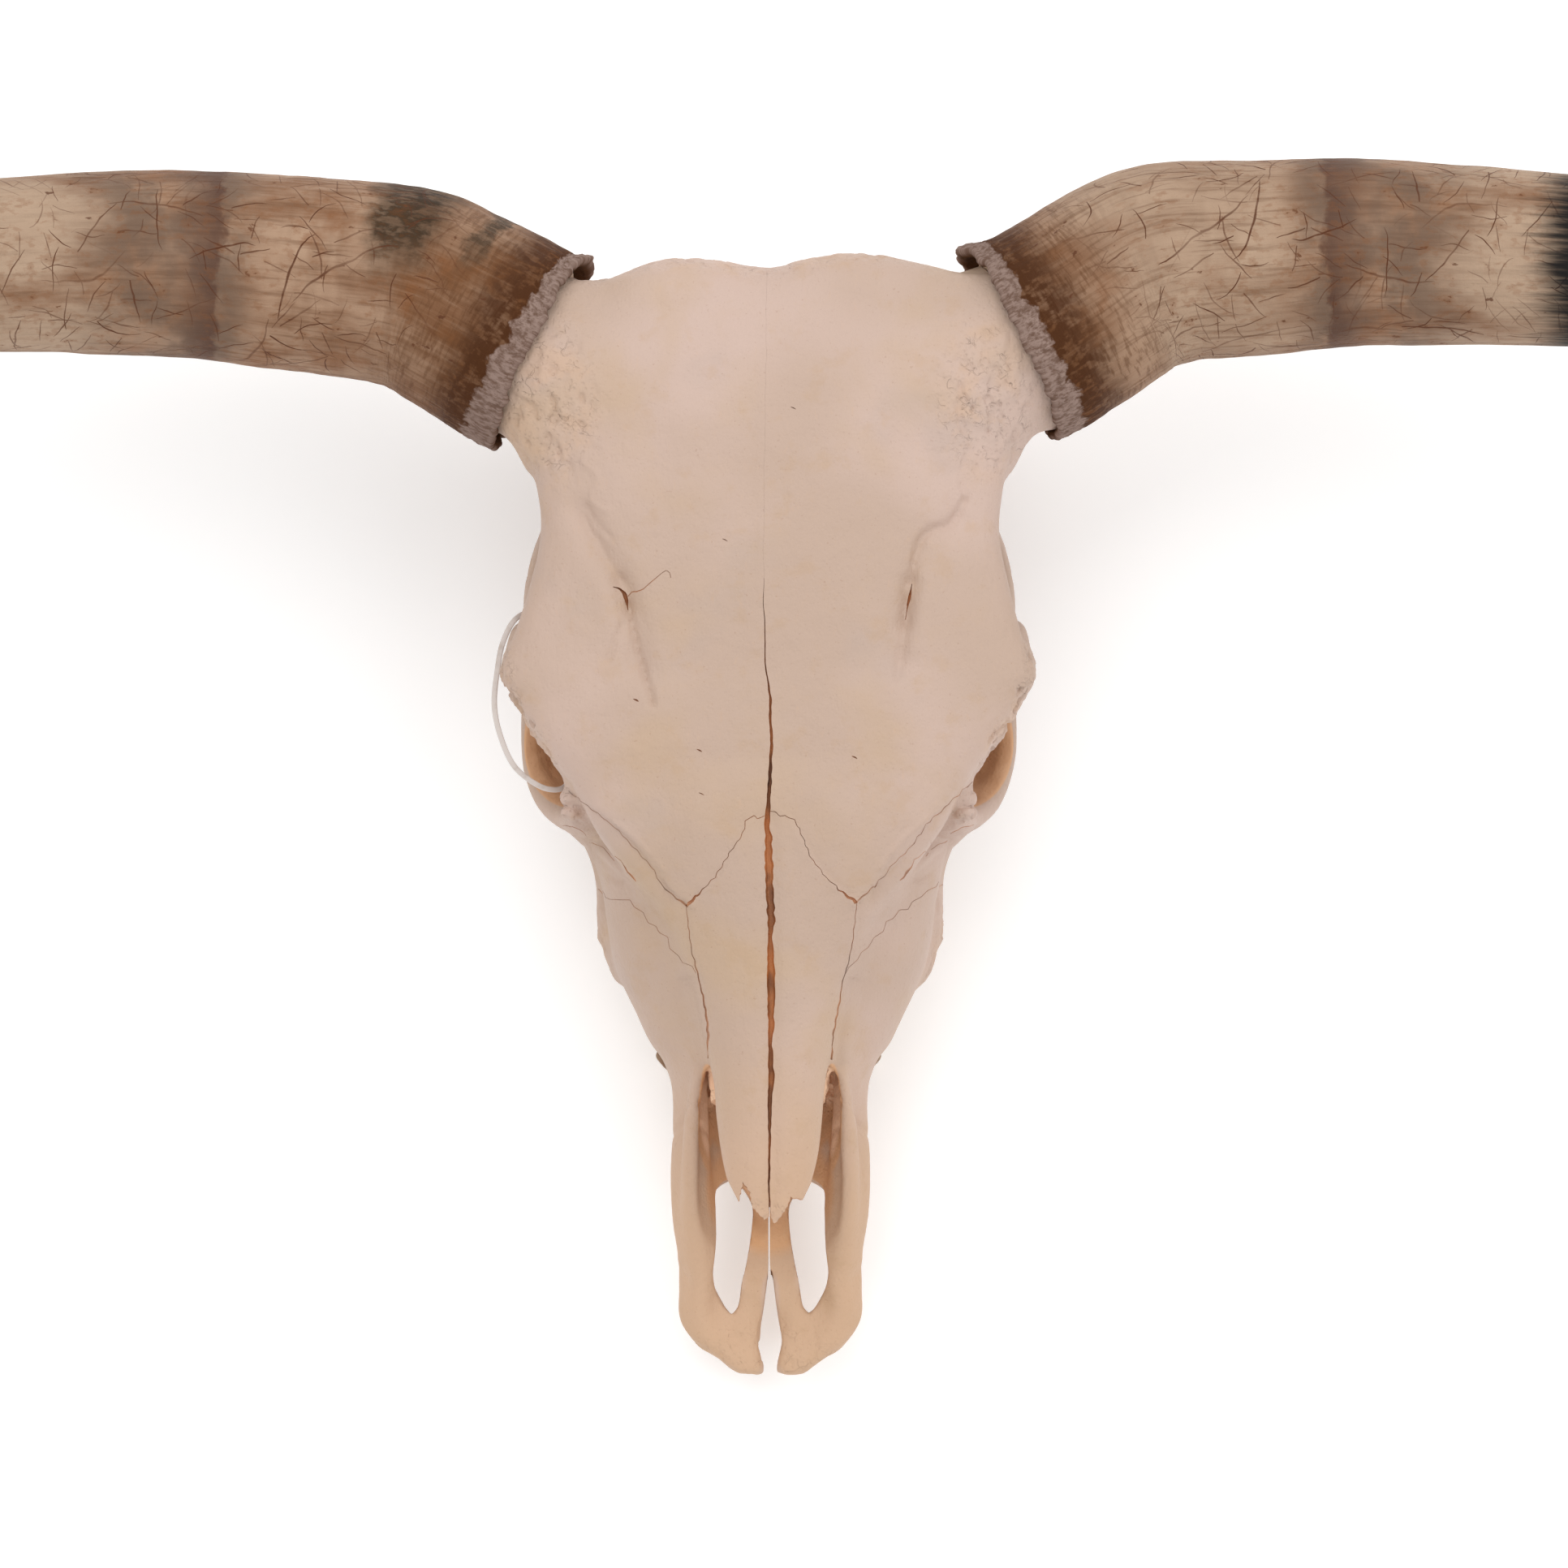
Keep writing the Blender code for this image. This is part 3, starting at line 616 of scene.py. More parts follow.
@dataclass(frozen=True)
class CheekArch:
    """The ring round the eye socket and the bridge that runs back to the ear."""

    ring: Rows = (
        (119, -178, 151), (120.5, -192, 152), (110, -212, 151), (96, -231, 147), (89.5, -244, 139),
        (91, -254, 124), (96, -253, 108), (106.5, -243, 97), (113.5, -226, 91), (115, -206, 89),
        (113.5, -186, 93), (112.5, -172, 104), (114, -166, 122), (117, -168, 140),
    )
    heft: Row = (5, 4.6, 4.2, 4.2, 5, 6, 6, 5.6, 5.2, 5.2, 5.6, 6, 6, 5.6)

    def inner_ring(self) -> Rows:
        """The ring a step further in, which gives the rim its depth."""
        middle = np.array((0.0, -209.0, 121.0))
        ring = np.array(self.ring)
        closer = ring + (ring - middle) * (0, 0.04, 0.04)
        return tuple(tuple(row) for row in closer - (9.5, 0, 0))

    def steps(self) -> list[Step]:
        """The ring, the arch and the cheek below the socket."""
        arch = ((88, -92, 90), (106.5, -114, 89), (113.8, -138, 94), (113.8, -160, 96), (112, -178, 94))
        return [
            join(Rod(self.ring, self.heft, cyclic=True), 7),
            join(Rod(self.inner_ring(), tuple(r - 0.6 for r in self.heft), cyclic=True), 7),
            join(Rod(arch, (12, 7.5, 6, 6.2, 6.5), (0.85, 1.2, 1.8)), 8),
            join(Rod(((106, -184, 86), (107, -208, 80), (101, -232, 80), (90, -250, 84), (69, -262, 88)),
                (5.5, 6.5, 8.5, 10, 13.5), (0.9, 1, 1.5)), 8),
            join(Rod(((73, -304, 54), (76, -280, 63), (85, -254, 70), (99, -222, 77)), (6.5, 6.5, 6.5, 6)), 7),
            join(Ball((86, -112, 80), (20, 14, 10)), 9), join(Ball((65, -266, 84), (16, 22, 30)), 9),
            join(Rod(((90, -245, 141), (89, -253, 124), (89.5, -250, 100)), (6, 6, 8)), 6),
            join(Ball((93.5, -247.5, 140), (5.2, 4.2, 6)), 2), join(Ball((93, -254, 136), (5.6, 3.4, 7)), 1.6),
            carve(Ball((98.5, -260, 135), (5.5, 2.4, 7)), 1), carve(Ball((85, -212, 115), (34.5, 33.5, 33)), 1.5),
            carve(Ball((60, -190, 100), (34, 34, 30)), 8),
        ]


@dataclass(frozen=True)
class SkullBase:
    """The underside behind the teeth, and what hangs down on each side of the neck joint."""

    def steps(self) -> list[Step]:
        """Floor bar, neck joint, ear region, jugular process and the wings beside the throat."""
        bar = ((-22, 0, 56, 26, 16), (-60, 0, 52, 24, 14), (-110, 0, 56, 20, 14), (-170, 0, 64, 18, 14),
            (-240, 0, 72, 18, 16))
        mastoid = (
            (-14, 88, 88, 9, 22), (-34, 95, 82, 17, 26), (-62, 97, 82, 19, 24), (-92, 93, 84, 18, 18),
            (-108, 90, 86, 10, 9),
        )
        wing = ((-158, 25, 62, 3.2, 22), (-180, 24, 48, 3.4, 26), (-215, 24, 46, 3.8, 26), (-262, 26, 44, 6, 20))
        return [
            join(Beam(bar), 8), join(Ball((31, -10, 51), (17, 16, 26), 12, 30), 8),
            join(Rod(((28, -36, 62), (31, -16, 54)), (22, 17)), 6),
            join(Rod(((80, -38, 88), (77, -44, 52), (71, -47, 22), (66, -46, 5)), (16, 11, 7.5, 5),
                (0.8, 1.25, 1.0)), 8),
            join(Beam(mastoid, 2.4), 8), join(Rod(((88, -70, 78), (101, -66, 66)), (11, 8.5)), 4),
            carve(Rod(((104, -65, 64), (92, -69, 74)), (4.5, 3.5)), 1.5),
            join(Ball((47, -84, 46), (12, 19, 20)), 4), join(Rod(((47, -92, 32), (49, -102, 22)), (5, 2.5)), 4),
            join(Ball((17, -72, 41), (9, 14, 11)), 6), carve(Ball((60, -62, 40), (9, 14, 16)), 6),
            carve(Ball((22, -34, 38), (7, 8, 8)), 5),
            carve(Rod(((0, 14, 70), (0, -26, 74), (0, -70, 84)), (18, 16, 13)), 4), join(Beam(wing, 2.4), 5),
            join(Rod(((24, -160, 40), (27, -158, 26)), (5, 2.5)), 4),
        ]


@dataclass(frozen=True)
class Snout:
    """The upper jaws, the nose and the two limbs of each premaxilla."""

    face: float = 84.0  # half the width at the front of the eye sockets
    snout: float = 44.0  # half the width of the snout

    def masses(self) -> list[Step]:
        """The jaw with its cheek knob and tooth ridge, and the roof of the nose."""
        jaw = (
            (-240, 0, 88, self.face - 14, 56), (-262, 0, 86, self.face - 2, 60), (-284, 0, 82, self.face - 3, 58),
            (-306, 0, 77, self.face - 6, 57), (-324, 0, 74, self.face - 10, 55),
            (-345, 0, 71, self.face - 20, 52), (-357, 0, 69, self.face - 26, 49),
            (-369, 0, 68, self.snout + 6.5, 46), (-392, 0, 63, self.snout + 1.0, 38),
            (-420, 0, 57, self.snout - 1.2, 32), (-446, 0, 48, self.snout - 2.2, 23),
            (-462, 0, 41, self.snout - 4.2, 14.5), (-474, 0, 36.5, 38.6, 9), (-486, 0, 33.5, 37, 5.5),
            (-496, 0, 32, 28, 3),
        )
        nose = (
            (-240, 0, 142, 74, 28), (-270, 0, 140, 56, 28), (-300, 0, 133, 46, 28), (-330, 0, 127, 38, 26),
            (-360, 0, 121, 31, 25), (-380, 0, 118.5, 26.8, 22), (-400, 0, 116.5, 25, 18), (-420, 0, 115, 22, 14),
            (-436, 0, 114, 17.5, 10), (-450, 0, 113, 9, 6),
        )
        ridge = ((-231, 54, 36, 12, 15), (-270, 55, 33, 14, 14), (-320, 52, 33, 13, 14), (-350, 47, 33, 11, 13),
            (-372, 40, 33, 8, 11))
        return [
            join(Beam(jaw, 2.7), 10), join(Beam(nose, 2.3), 10), join(Ball((71, -303, 52), (11, 24, 13)), 8),
            join(Rod(((74, -262, 70), (77, -284, 62), (76, -302, 54)), (5, 5.5, 6)), 7), join(Beam(ridge), 8),
        ]

    def limbs(self) -> list[Step]:
        """Front plate, outer limb and slim inner limb of the premaxilla."""
        outer = ((34.6, -377, 103), (36.6, -396, 93), (36.8, -430, 74), (35.2, -456, 56), (33.2, -470, 47),
            (34.4, -484, 39), (29.5, -497, 33))
        plate = ((-462, 37, 38, 7, 9), (-476, 35, 35, 9, 7.5), (-488, 28, 33, 16, 6.5), (-496, 21.5, 33, 18, 6.5),
            (-506, 16, 33, 12.5, 6.5), (-516, 9.5, 33, 6.5, 5))
        inner = ((4.4, -425, 37), (6, -455, 36), (9.5, -475, 34.5), (13, -494, 33))
        return [
            join(Rod(outer, (2, 5, 6, 6, 6.2, 7.2, 7)), 6), join(Beam(plate, 2.6, 3), 7),
            join(Rod(inner, (4, 5, 6.5, 7)), 3),
        ]

    def hollows(self) -> list[Step]:
        """The nose's cavity and the slits in the floor of the snout."""
        cavity = (
            (-296, 0, 96, 18, 34), (-320, 0, 93, 26, 42), (-350, 0, 87, 30, 43), (-380, 0, 84, 33.5, 40),
            (-410, 0, 81, 34, 36), (-440, 0, 78, 34, 35), (-480, 0, 78, 30, 34), (-560, 0, 82, 30, 38),
        )
        vault = (
            (-306, 0, 116, 14, 20), (-340, 0, 113, 24, 31), (-370, 0, 109, 24, 28), (-400, 0, 103, 20, 26),
            (-430, 0, 98, 16, 22), (-470, 0, 92, 14, 20),
        )
        holes = (  # y, middle x, half width
            (-422, 20, 3.5), (-430, 19.8, 9.1), (-437, 19.0, 10.6), (-448, 19.6, 10.3), (-462, 20.8, 9.2),
            (-473, 20.8, 6.8), (-483, 19.2, 3.4), (-488, 19, 1.0),
        )
        notch = (  # y, half width
            (-466, 0.5), (-472, 1.2), (-485, 3.0), (-497.5, 5.3), (-503, 5.4), (-508.5, 3.7), (-513, 2.7),
            (-518, 3.8), (-530, 7),
        )
        return [
            carve(Beam(cavity, 2.3), 3), carve(Beam(vault, 2.3), 3),
            carve(Beam(tuple((y, x, 34, wide, 26) for y, x, wide in holes), 2.3), 1.5),
            carve(Beam(tuple((y, 0, 34, wide, 26) for y, wide in notch), 2.2), 1.5),
        ]

    def palate(self) -> list[Step]:
        """The mouth's roof between the teeth and the rear opening of the nose."""
        roof = ((-214, 0, 6, 34, 26), (-250, 0, 6, 38, 24), (-320, 0, 8, 37, 24), (-372, 0, 10, 30, 20),
            (-420, 0, 8, 24, 18))
        rear = ((-120, 0, 22, 16, 24), (-180, 0, 36, 18, 22), (-240, 0, 44, 18, 20), (-290, 0, 48, 14, 12))
        return [
            carve(Beam(roof, 3.2), 5), carve(Beam(rear, 2.6), 4),
            carve(Rod(((14, -300, 36), (15, -306, 22)), (2.6, 3.4)), 1.5),
            carve(Rod(((60, -353, 53), (50, -343, 57), (40, -336, 60)), (3.6, 4, 4)), 2),
        ]

    def insides(self) -> list[Step]:
        """The thin wall down the middle of the nose and the scrolls beside it."""
        septum = ((-296, 0, 76, 2.0, 34), (-340, 0, 72, 1.9, 30), (-380, 0, 62, 1.8, 20), (-412, 0, 52, 1.6, 10),
            (-430, 0, 47, 1.2, 4))
        return [
            join(Rod(((38, -380, 76), (38.5, -412, 66), (38, -440, 55), (36, -458, 47)), (7, 9.5, 9.5, 8)), 6),
            join(Beam(septum, 2.6), 2),
            join(Rod(((22, -300, 104), (24, -340, 102), (25, -372, 100), (25.5, -386, 99)), (8, 8.5, 7, 4),
                (0.7, 1, 1.3)), 2),
            join(Rod(((21, -300, 72), (23, -336, 68), (25, -366, 64), (27, -382, 62)), (9, 9, 7, 3.5),
                (0.75, 1, 1.3)), 2),
        ]


# ------------------------------------------------------------------ sutures, cracks and holes


@dataclass(frozen=True)
class Sutures:
    """Where the sutures of one side run, as (distance from the middle, y) points seen from above."""

    nasofrontal: Sequence[Row]
    lacrimal: Sequence[Row]
    nasomaxillary: Sequence[Row]
    cheek: Sequence[Row]
    nasal_edge: Sequence[Row]

    def zigzags(self, seed: int) -> "Sutures":
        """The same sutures as they are cut, without the ends of the two that run into the flank."""
        return Sutures(
            jagged(self.nasofrontal, 0.7, 2.6, seed),
            jagged(self.lacrimal[:-1], 0.5, 3.2, seed + 7),
            jagged(self.nasomaxillary, 0.35, 3.0, seed + 9),
            jagged(self.cheek[:-2], 1.2, 4.5, seed + 11),
            [*self.nasal_edge[:6], *jagged(self.nasal_edge[6:], 0.4, 1.4, seed + 15)],
        )


SUTURES: dict[int, Sutures] = {
    1: Sutures(
        nasofrontal=((0.8, -258), (3.4, -258.4), (6.5, -260.6), (11.4, -260.6), (14.1, -265), (20.1, -279.2),
            (26.6, -287.4), (33.5, -293.7), (41.7, -299.2)),
        lacrimal=((41.7, -299.2), (47.5, -293.5), (53, -288), (59.8, -280.2), (65.9, -274.5), (74.3, -263),
            (87.3, -250.4), (96.9, -240.5), (112, -236)),
        nasomaxillary=((41.7, -299.2), (40.1, -316), (37.5, -328), (35.6, -333), (33.4, -346), (31.1, -359),
            (30, -369.5)),
        cheek=((36.6, -331), (41, -325), (45.5, -319), (51, -313), (57, -304), (64, -299), (71, -293), (77, -288),
            (86, -279), (98, -264), (120, -256)),
        nasal_edge=((33, -372), (30, -382), (27.5, -395), (25.4, -406), (22.6, -420), (20.4, -428), (16.5, -436),
            (10.7, -435.3), (8.4, -441), (3.4, -447.7), (0.9, -444.4)),
    ),
    -1: Sutures(
        nasofrontal=((-0.4, -259.5), (3.8, -261.7), (7.2, -259.8), (9.9, -262.4), (11.8, -268.8), (16.7, -275.5),
            (23.6, -286.4), (30.5, -293.9), (38.3, -300.2)),
        lacrimal=((38.3, -300.2), (46, -294), (51, -289), (53.8, -283.3), (59.4, -277.1), (70.5, -265),
            (83.9, -254.2), (94.3, -244.7), (112, -237)),
        nasomaxillary=((38.3, -300.2), (36.4, -318.8), (33.6, -329), (30.4, -343.4), (28.6, -354.3), (28.8, -369)),
        cheek=((34, -330.7), (38.9, -324.9), (43.7, -321.5), (47.9, -312.6), (54.1, -306.4), (62.3, -298),
            (69.8, -291.8), (75.9, -292.4), (83, -282), (96, -266), (120, -257)),
        nasal_edge=((32, -371), (28.5, -380), (26.6, -394), (24.6, -406), (22, -419), (19.2, -426.5),
            (13.9, -437), (11.9, -428.5), (8.5, -433), (7.4, -440), (5.4, -441.7), (1.6, -446), (-0.6, -444.4)),
    ),
}
MIDLINE: Rows = (  # x of the middle suture, its y and how far it has opened
    (0.0, 60, 0.3), (-0.6, 10, 0.3), (-1.0, -60, 0.3), (-2.0, -120, 0.1), (-1.9, -150, 0.14), (-1.9, -162.5, 0.3),
    (-1.1, -191.0, 0.6), (0.3, -200.0, 0.8), (1.1, -205.9, 1.2), (1.5, -225.1, 1.4), (0.8, -250.9, 1.8),
    (-0.2, -265.0, 2.4), (0.8, -280.3, 3.9), (1.3, -305.2, 3.6), (1.1, -314.6, 1.9), (1.4, -331.7, 3.8),
    (1.7, -351.5, 3.1), (1.1, -364.6, 1.7), (1.1, -378.0, 2.7), (0.9, -411.0, 1.1), (0.9, -444.7, 0.8),
    (0.9, -560.0, 0.3),
)


MIDDLE_START, MIDDLE_REACH = -150, 297  # where the middle suture begins to gape, and its length
TEAR: Rows = (  # the gap between lacrimal and jaw, in front of the eye socket
    (98.2, -257.6), (88.6, -261.5), (78.9, -267.7), (73.6, -274.8), (69.3, -278.3), (66.7, -282.8),
    (62.3, -287.6),
)
LIMB_GAP: Rows = (  # the gap between the inner limbs of the two premaxillae
    (-0.1, -432), (-0.1, -462), (-0.3, -471), (-1.4, -483), (2.4, -483), (1.3, -471), (0.75, -462), (0.7, -432),
)
HOLES: Rows = (  # small holes of vessels: x, y and width
    (-61.6, -206.4, 0.55), (-31.9, -229.8, 0.45), (40.6, -233.0, 0.45), (-20, -132, 0.3), (12, -70, 0.3),
    (-31, -250, 0.3),
)


def jagged(points: Sequence[Row], height: float, spacing: float, seed: int) -> list[Row]:
    """Breaks a line into small zigzags, its two ends kept.

    Args:
        points: The line, as pairs.
        height: How far a corner may lie to one side.
        spacing: The usual distance between two corners.
        seed: The seed of the random draws.

    Returns:
        The new line, as pairs.
    """
    drawn = np.random.default_rng(seed)
    line = np.array(points, float)
    lengths = np.r_[0, np.cumsum(np.hypot(*np.diff(line, axis=0).T))]
    count = max(2, round(lengths[-1] / spacing))
    places = np.linspace(0, lengths[-1], count + 1)
    places[1:-1] += drawn.uniform(-0.3, 0.3, count - 1) * spacing
    x, y = np.interp(places, lengths, line[:, 0]), np.interp(places, lengths, line[:, 1])
    across = unit(np.column_stack([-np.gradient(y), np.gradient(x)]))
    side = np.where(np.arange(count + 1) % 2, 1, -1) * drawn.uniform(0.2, 1.0, count + 1) * height
    side[[0, -1]] = 0
    return [tuple(pair) for pair in np.column_stack([x, y]) + across * side[:, None]]


def mid_x(y: float) -> float:
    """The x of the middle suture at a y."""
    table = np.array(MIDLINE)[::-1]
    return float(np.interp(y, table[:, 1], table[:, 0]))


def middle_line(start: float, end: float) -> list[Row]:
    """The middle suture between two values of y, lightly waved, as (x, y) pairs."""
    spacing, wave_length, wave_height = 3, 9.0, 0.7
    stations = np.linspace(start, end, max(2, round(abs(end - start) / spacing)))
    points = np.column_stack([np.zeros_like(stations), stations, np.zeros_like(stations)])
    wobble = Lumps(5)(points, wave_length, 2) * wave_height
    return [(mid_x(y) + w, y) for y, w in zip(stations, wobble)]


@dataclass(frozen=True)
class Region:
    """The space that one bone takes: an outline swept along an axis between two levels.

    The outline is (x, y) for a sweep along Z and (y, z) for one along X, with x measured outwards
    from the middle.
    """

    STAIN = 0.35  # how brown the sutures' walls are

    name: str
    axis: str
    outline: Rows
    low: float
    high: float
    side: int = 1
    slope: Optional[Row] = None  # level of the underside at y = 0 and its rise along Y

    def grown(self, grow: float) -> list[Row]:
        """The outline moved outwards, corner by corner."""
        table = np.array(self.outline, float)
        following, before = np.roll(table, -1, axis=0), np.roll(table, 1, axis=0)
        area = float((table[:, 0] * following[:, 1] - following[:, 0] * table[:, 1]).sum())
        both = unit(table - before) + unit(following - table)
        normal = unit(np.column_stack([both[:, 1], -both[:, 0]]))
        return [tuple(pair) for pair in table + normal * math.copysign(grow, area)]

    def tool(self, grow: float) -> Thing:
        """The region as a closed object, its cuts moved outwards."""
        outline = self.grown(grow)
        low, high = self.low - grow, self.high + grow
        rows = []
        for level, lowest in ((low, True), (high, False)):
            for first, second in outline:
                if self.axis == "X":
                    rows.append((self.side * level, first, second))
                    continue
                sloping = lowest and self.slope
                height = self.slope[0] + self.slope[1] * second - grow if sloping else level
                rows.append((self.side * first, second, height))
        return closed_prism(f"region_{self.name}", rows, len(outline), self.STAIN)


def closed_prism(name: str, points: Sequence[Row], count: int, stain: float = 1.0) -> Thing:
    """A closed object from two rings of points, with every face marked as a cut.

    Args:
        name: The object's name.
        points: The first ring's points, then the second's.
        count: How many points one ring has.
        stain: How brown the cut faces are.

    Returns:
        The object.
    """
    made = bmesh.new()
    corners = [made.verts.new(tuple(point)) for point in to_frame(np.array(points, float))]
    made.faces.new(corners[:count])
    made.faces.new(corners[: count - 1 : -1])
    for i in range(count):
        j = (i + 1) % count
        made.faces.new((corners[i], corners[count + i], corners[count + j], corners[j]))
    return cutter_from(made, name, stain)


class Surface:
    """Finds the bone's surface under a point seen from above."""

    SKY = 320.0  # a level above all bone
    USUAL = 150.0  # the level given where there is no bone

    def __init__(self, mesh: Mesh) -> None:
        """Builds the search tree."""
        points = read_rows(mesh.vertices, "co", 3)
        self.tree = BVHTree.FromPolygons(points.tolist(), faces_of(mesh).reshape(-1, 4).tolist())

    def height(self, x: float, y: float) -> float:
        """The z of the highest surface at (x, y)."""
        start = Vector(to_frame(np.array((x, y, self.SKY))))
        hit = self.tree.ray_cast(start, Vector((0, 0, -1)))[0]
        return self.USUAL if hit is None else hit.z / MM


@dataclass(frozen=True)
class Crack:
    """A narrow opening along a line: rows of (x, y, half width, depth) seen from above."""

    SECTION = (  # share of the half width, share of the depth and level over the surface
        (1.25, 0, 2.5), (-1.25, 0, 2.5), (-1.0, 0, -0.2), (-0.55, -1, 0), (0.55, -1, 0), (1.0, 0, -0.2)
    )

    name: str
    rows: Rows
    stain: float = 1.0  # how brown its walls are

    def tool(self, surface: Surface) -> Thing:
        """The cutter that opens the crack, a strip with a tapering section."""
        line = np.array(self.rows, float)
        way = np.gradient(line[:, :2], axis=0)
        way /= np.linalg.norm(way, axis=1)[:, None] + 1e-9
        points = []
        for (x, y, half, depth), (forth_x, forth_y) in zip(line, way):
            z = surface.height(x, y)
            points.append([
                (x + forth_y * half * share, y - forth_x * half * share, z + deep * depth + level)
                for share, deep, level in self.SECTION
            ])
        made = bmesh.new()
        rings = wall_of(made, points)
        made.faces.new(rings[0][::-1])
        made.faces.new(rings[-1])
        return cutter_from(made, self.name, self.stain)


Width = Callable[[float], float]


def crack_along(name: str, points: Sequence[Row], width: Width, depth: float, seed: int, stain: float = 1.0) -> Crack:
    """A crack that follows a line, its width varying along it.

    Args:
        name: The crack's name.
        points: The line, as (x, y) pairs.
        width: The opening at a share 0..1 of the line.
        depth: The depth at full width.
        seed: The seed of the uneven edge.
        stain: How brown its walls are.

    Returns:
        The crack.
    """
    spacing, ragged, sway, least = 1.2, 0.24, 0.3, 0.3
    drawn = np.random.default_rng(seed)
    line = np.array(points, float)
    lengths = np.r_[0, np.cumsum(np.hypot(*np.diff(line, axis=0).T))]
    count = max(4, round(lengths[-1] / spacing))
    shares = np.linspace(0, 1, count + 1)
    x, y = (np.interp(shares * lengths[-1], lengths, column) for column in line.T)
    uneven = np.convolve(drawn.uniform(-1, 1, count + 5), (0.25, 0.5, 0.25), "same")
    rows = []
    for k, share in enumerate(shares):
        half = max(0.05, 0.5 * width(share) * (1 + ragged * uneven[k + 2]))
        shift = sway * uneven[k + 3] * half
        rows.append((x[k] + shift, y[k], half, max(least, depth * min(1.0, half / 0.5))))
    return Crack(name, tuple(rows), stain)


@dataclass(frozen=True)
class Patch:
    """A place where the bone is rough, or where shade is painted: its middle, its reach along each axis and how rough
    it is or how strong the painted shade is.
    """

    centre: Row
    reach: Row
    amount: float
    soft: float = 0.65  # over what share of its reach it fades out

    def share(self, points: Array) -> Array:
        """How strongly the patch acts at each point, mirrored to both sides."""
        place = np.abs(points * (1, 0, 0)) + points * (0, 1, 1)
        far = np.linalg.norm((place - self.centre) / self.reach, axis=1)
        return self.amount * ramp(-far, -1.0, self.soft - 1.0)


@dataclass(frozen=True)
class Relief:
    """A soft groove or ridge along a line of (x, y) points, or of (y, z) points on the flanks.

    With lean 1 the bone is higher on the line's left hand and lower on its right, as where one
    bone overlaps the next.
    """

    points: Rows
    width: float
    height: float
    lean: float = 0.0

    def amount(self, points: Array) -> Array:
        """The change of height at each point of the plane that the line lies in."""
        nearest = np.full(len(points), 1e9)
        hand = np.zeros(len(points))
        line = catmull(self.points, 5)
        for start, end in zip(line, line[1:]):
            way = end - start
            share = np.clip(((points[:, :2] - start) @ way) / max(way @ way, 1e-6), 0, 1)
            gap = points[:, :2] - start - share[:, None] * way
            far = (gap**2).sum(axis=1)
            closer = far < nearest
            nearest = np.where(closer, far, nearest)
            if self.lean:
                turned = (way[0] * gap[:, 1] - way[1] * gap[:, 0]) / math.sqrt(max(way @ way, 1e-6))
                hand = np.where(closer, np.clip(turned / 0.9, -1, 1), hand)
        if self.lean:
            return self.height * self.lean * hand * np.exp(-nearest / self.width**2)
        return self.height * np.exp(-nearest / self.width**2)


ROUGH_PATCHES = [
    Patch(*row)
    for row in (
        ((100, -60, 172), (36, 56, 42), 1.35), ((121, -196, 156), (12, 30, 20), 2.0),
        ((108, -222, 152), (13, 26, 20), 1.8), ((0, 2, 172), (120, 14, 30), 0.7),
        ((0, -2, 126), (80, 14, 50), 0.6), ((72, -305, 52), (20, 30, 20), 1.0),
        ((98, -45, 86), (24, 56, 34), 0.8), ((0, -444, 118), (24, 12, 14), 0.8),
        ((16, -505, 33), (34, 24, 16), 0.6), ((96, -250, 136), (14, 16, 20), 1.2),
        ((66, -46, 18), (16, 16, 24), 0.7), ((0, -60, 50), (34, 60, 30), 0.45),
        ((107, -221, 144), (17, 26, 15), 1.4), ((58, -84, 60), (34, 40, 40), 0.5),
        ((56, -300, 30), (16, 84, 14), 0.7), ((100, -200, 84), (24, 60, 16), 0.5),
        ((24, -380, 98), (12, 22, 16), 2.2), ((26, -376, 64), (12, 22, 16), 2.0),
    )
]
# places, such as the eye sockets and the nose, where shade is painted into the bone's colour; an amount past 1 also
# lays the painted lighter tone that stands in for light reaching deep inside the nose
SHADED_PATCHES = [
    Patch(*row)
    for row in (
        ((86, -213, 108), (37, 38, 36), 1.0, 0.07), ((70, -176, 92), (40, 52, 38), 0.7, 0.2),
        ((0, -375, 84), (38, 98, 48), 2.0, 0.14), ((0, -428, 66), (36, 52, 37), 1.6, 0.5),
        ((0, -30, 78), (20, 60, 19), 0.9, 0.2),
    )
]
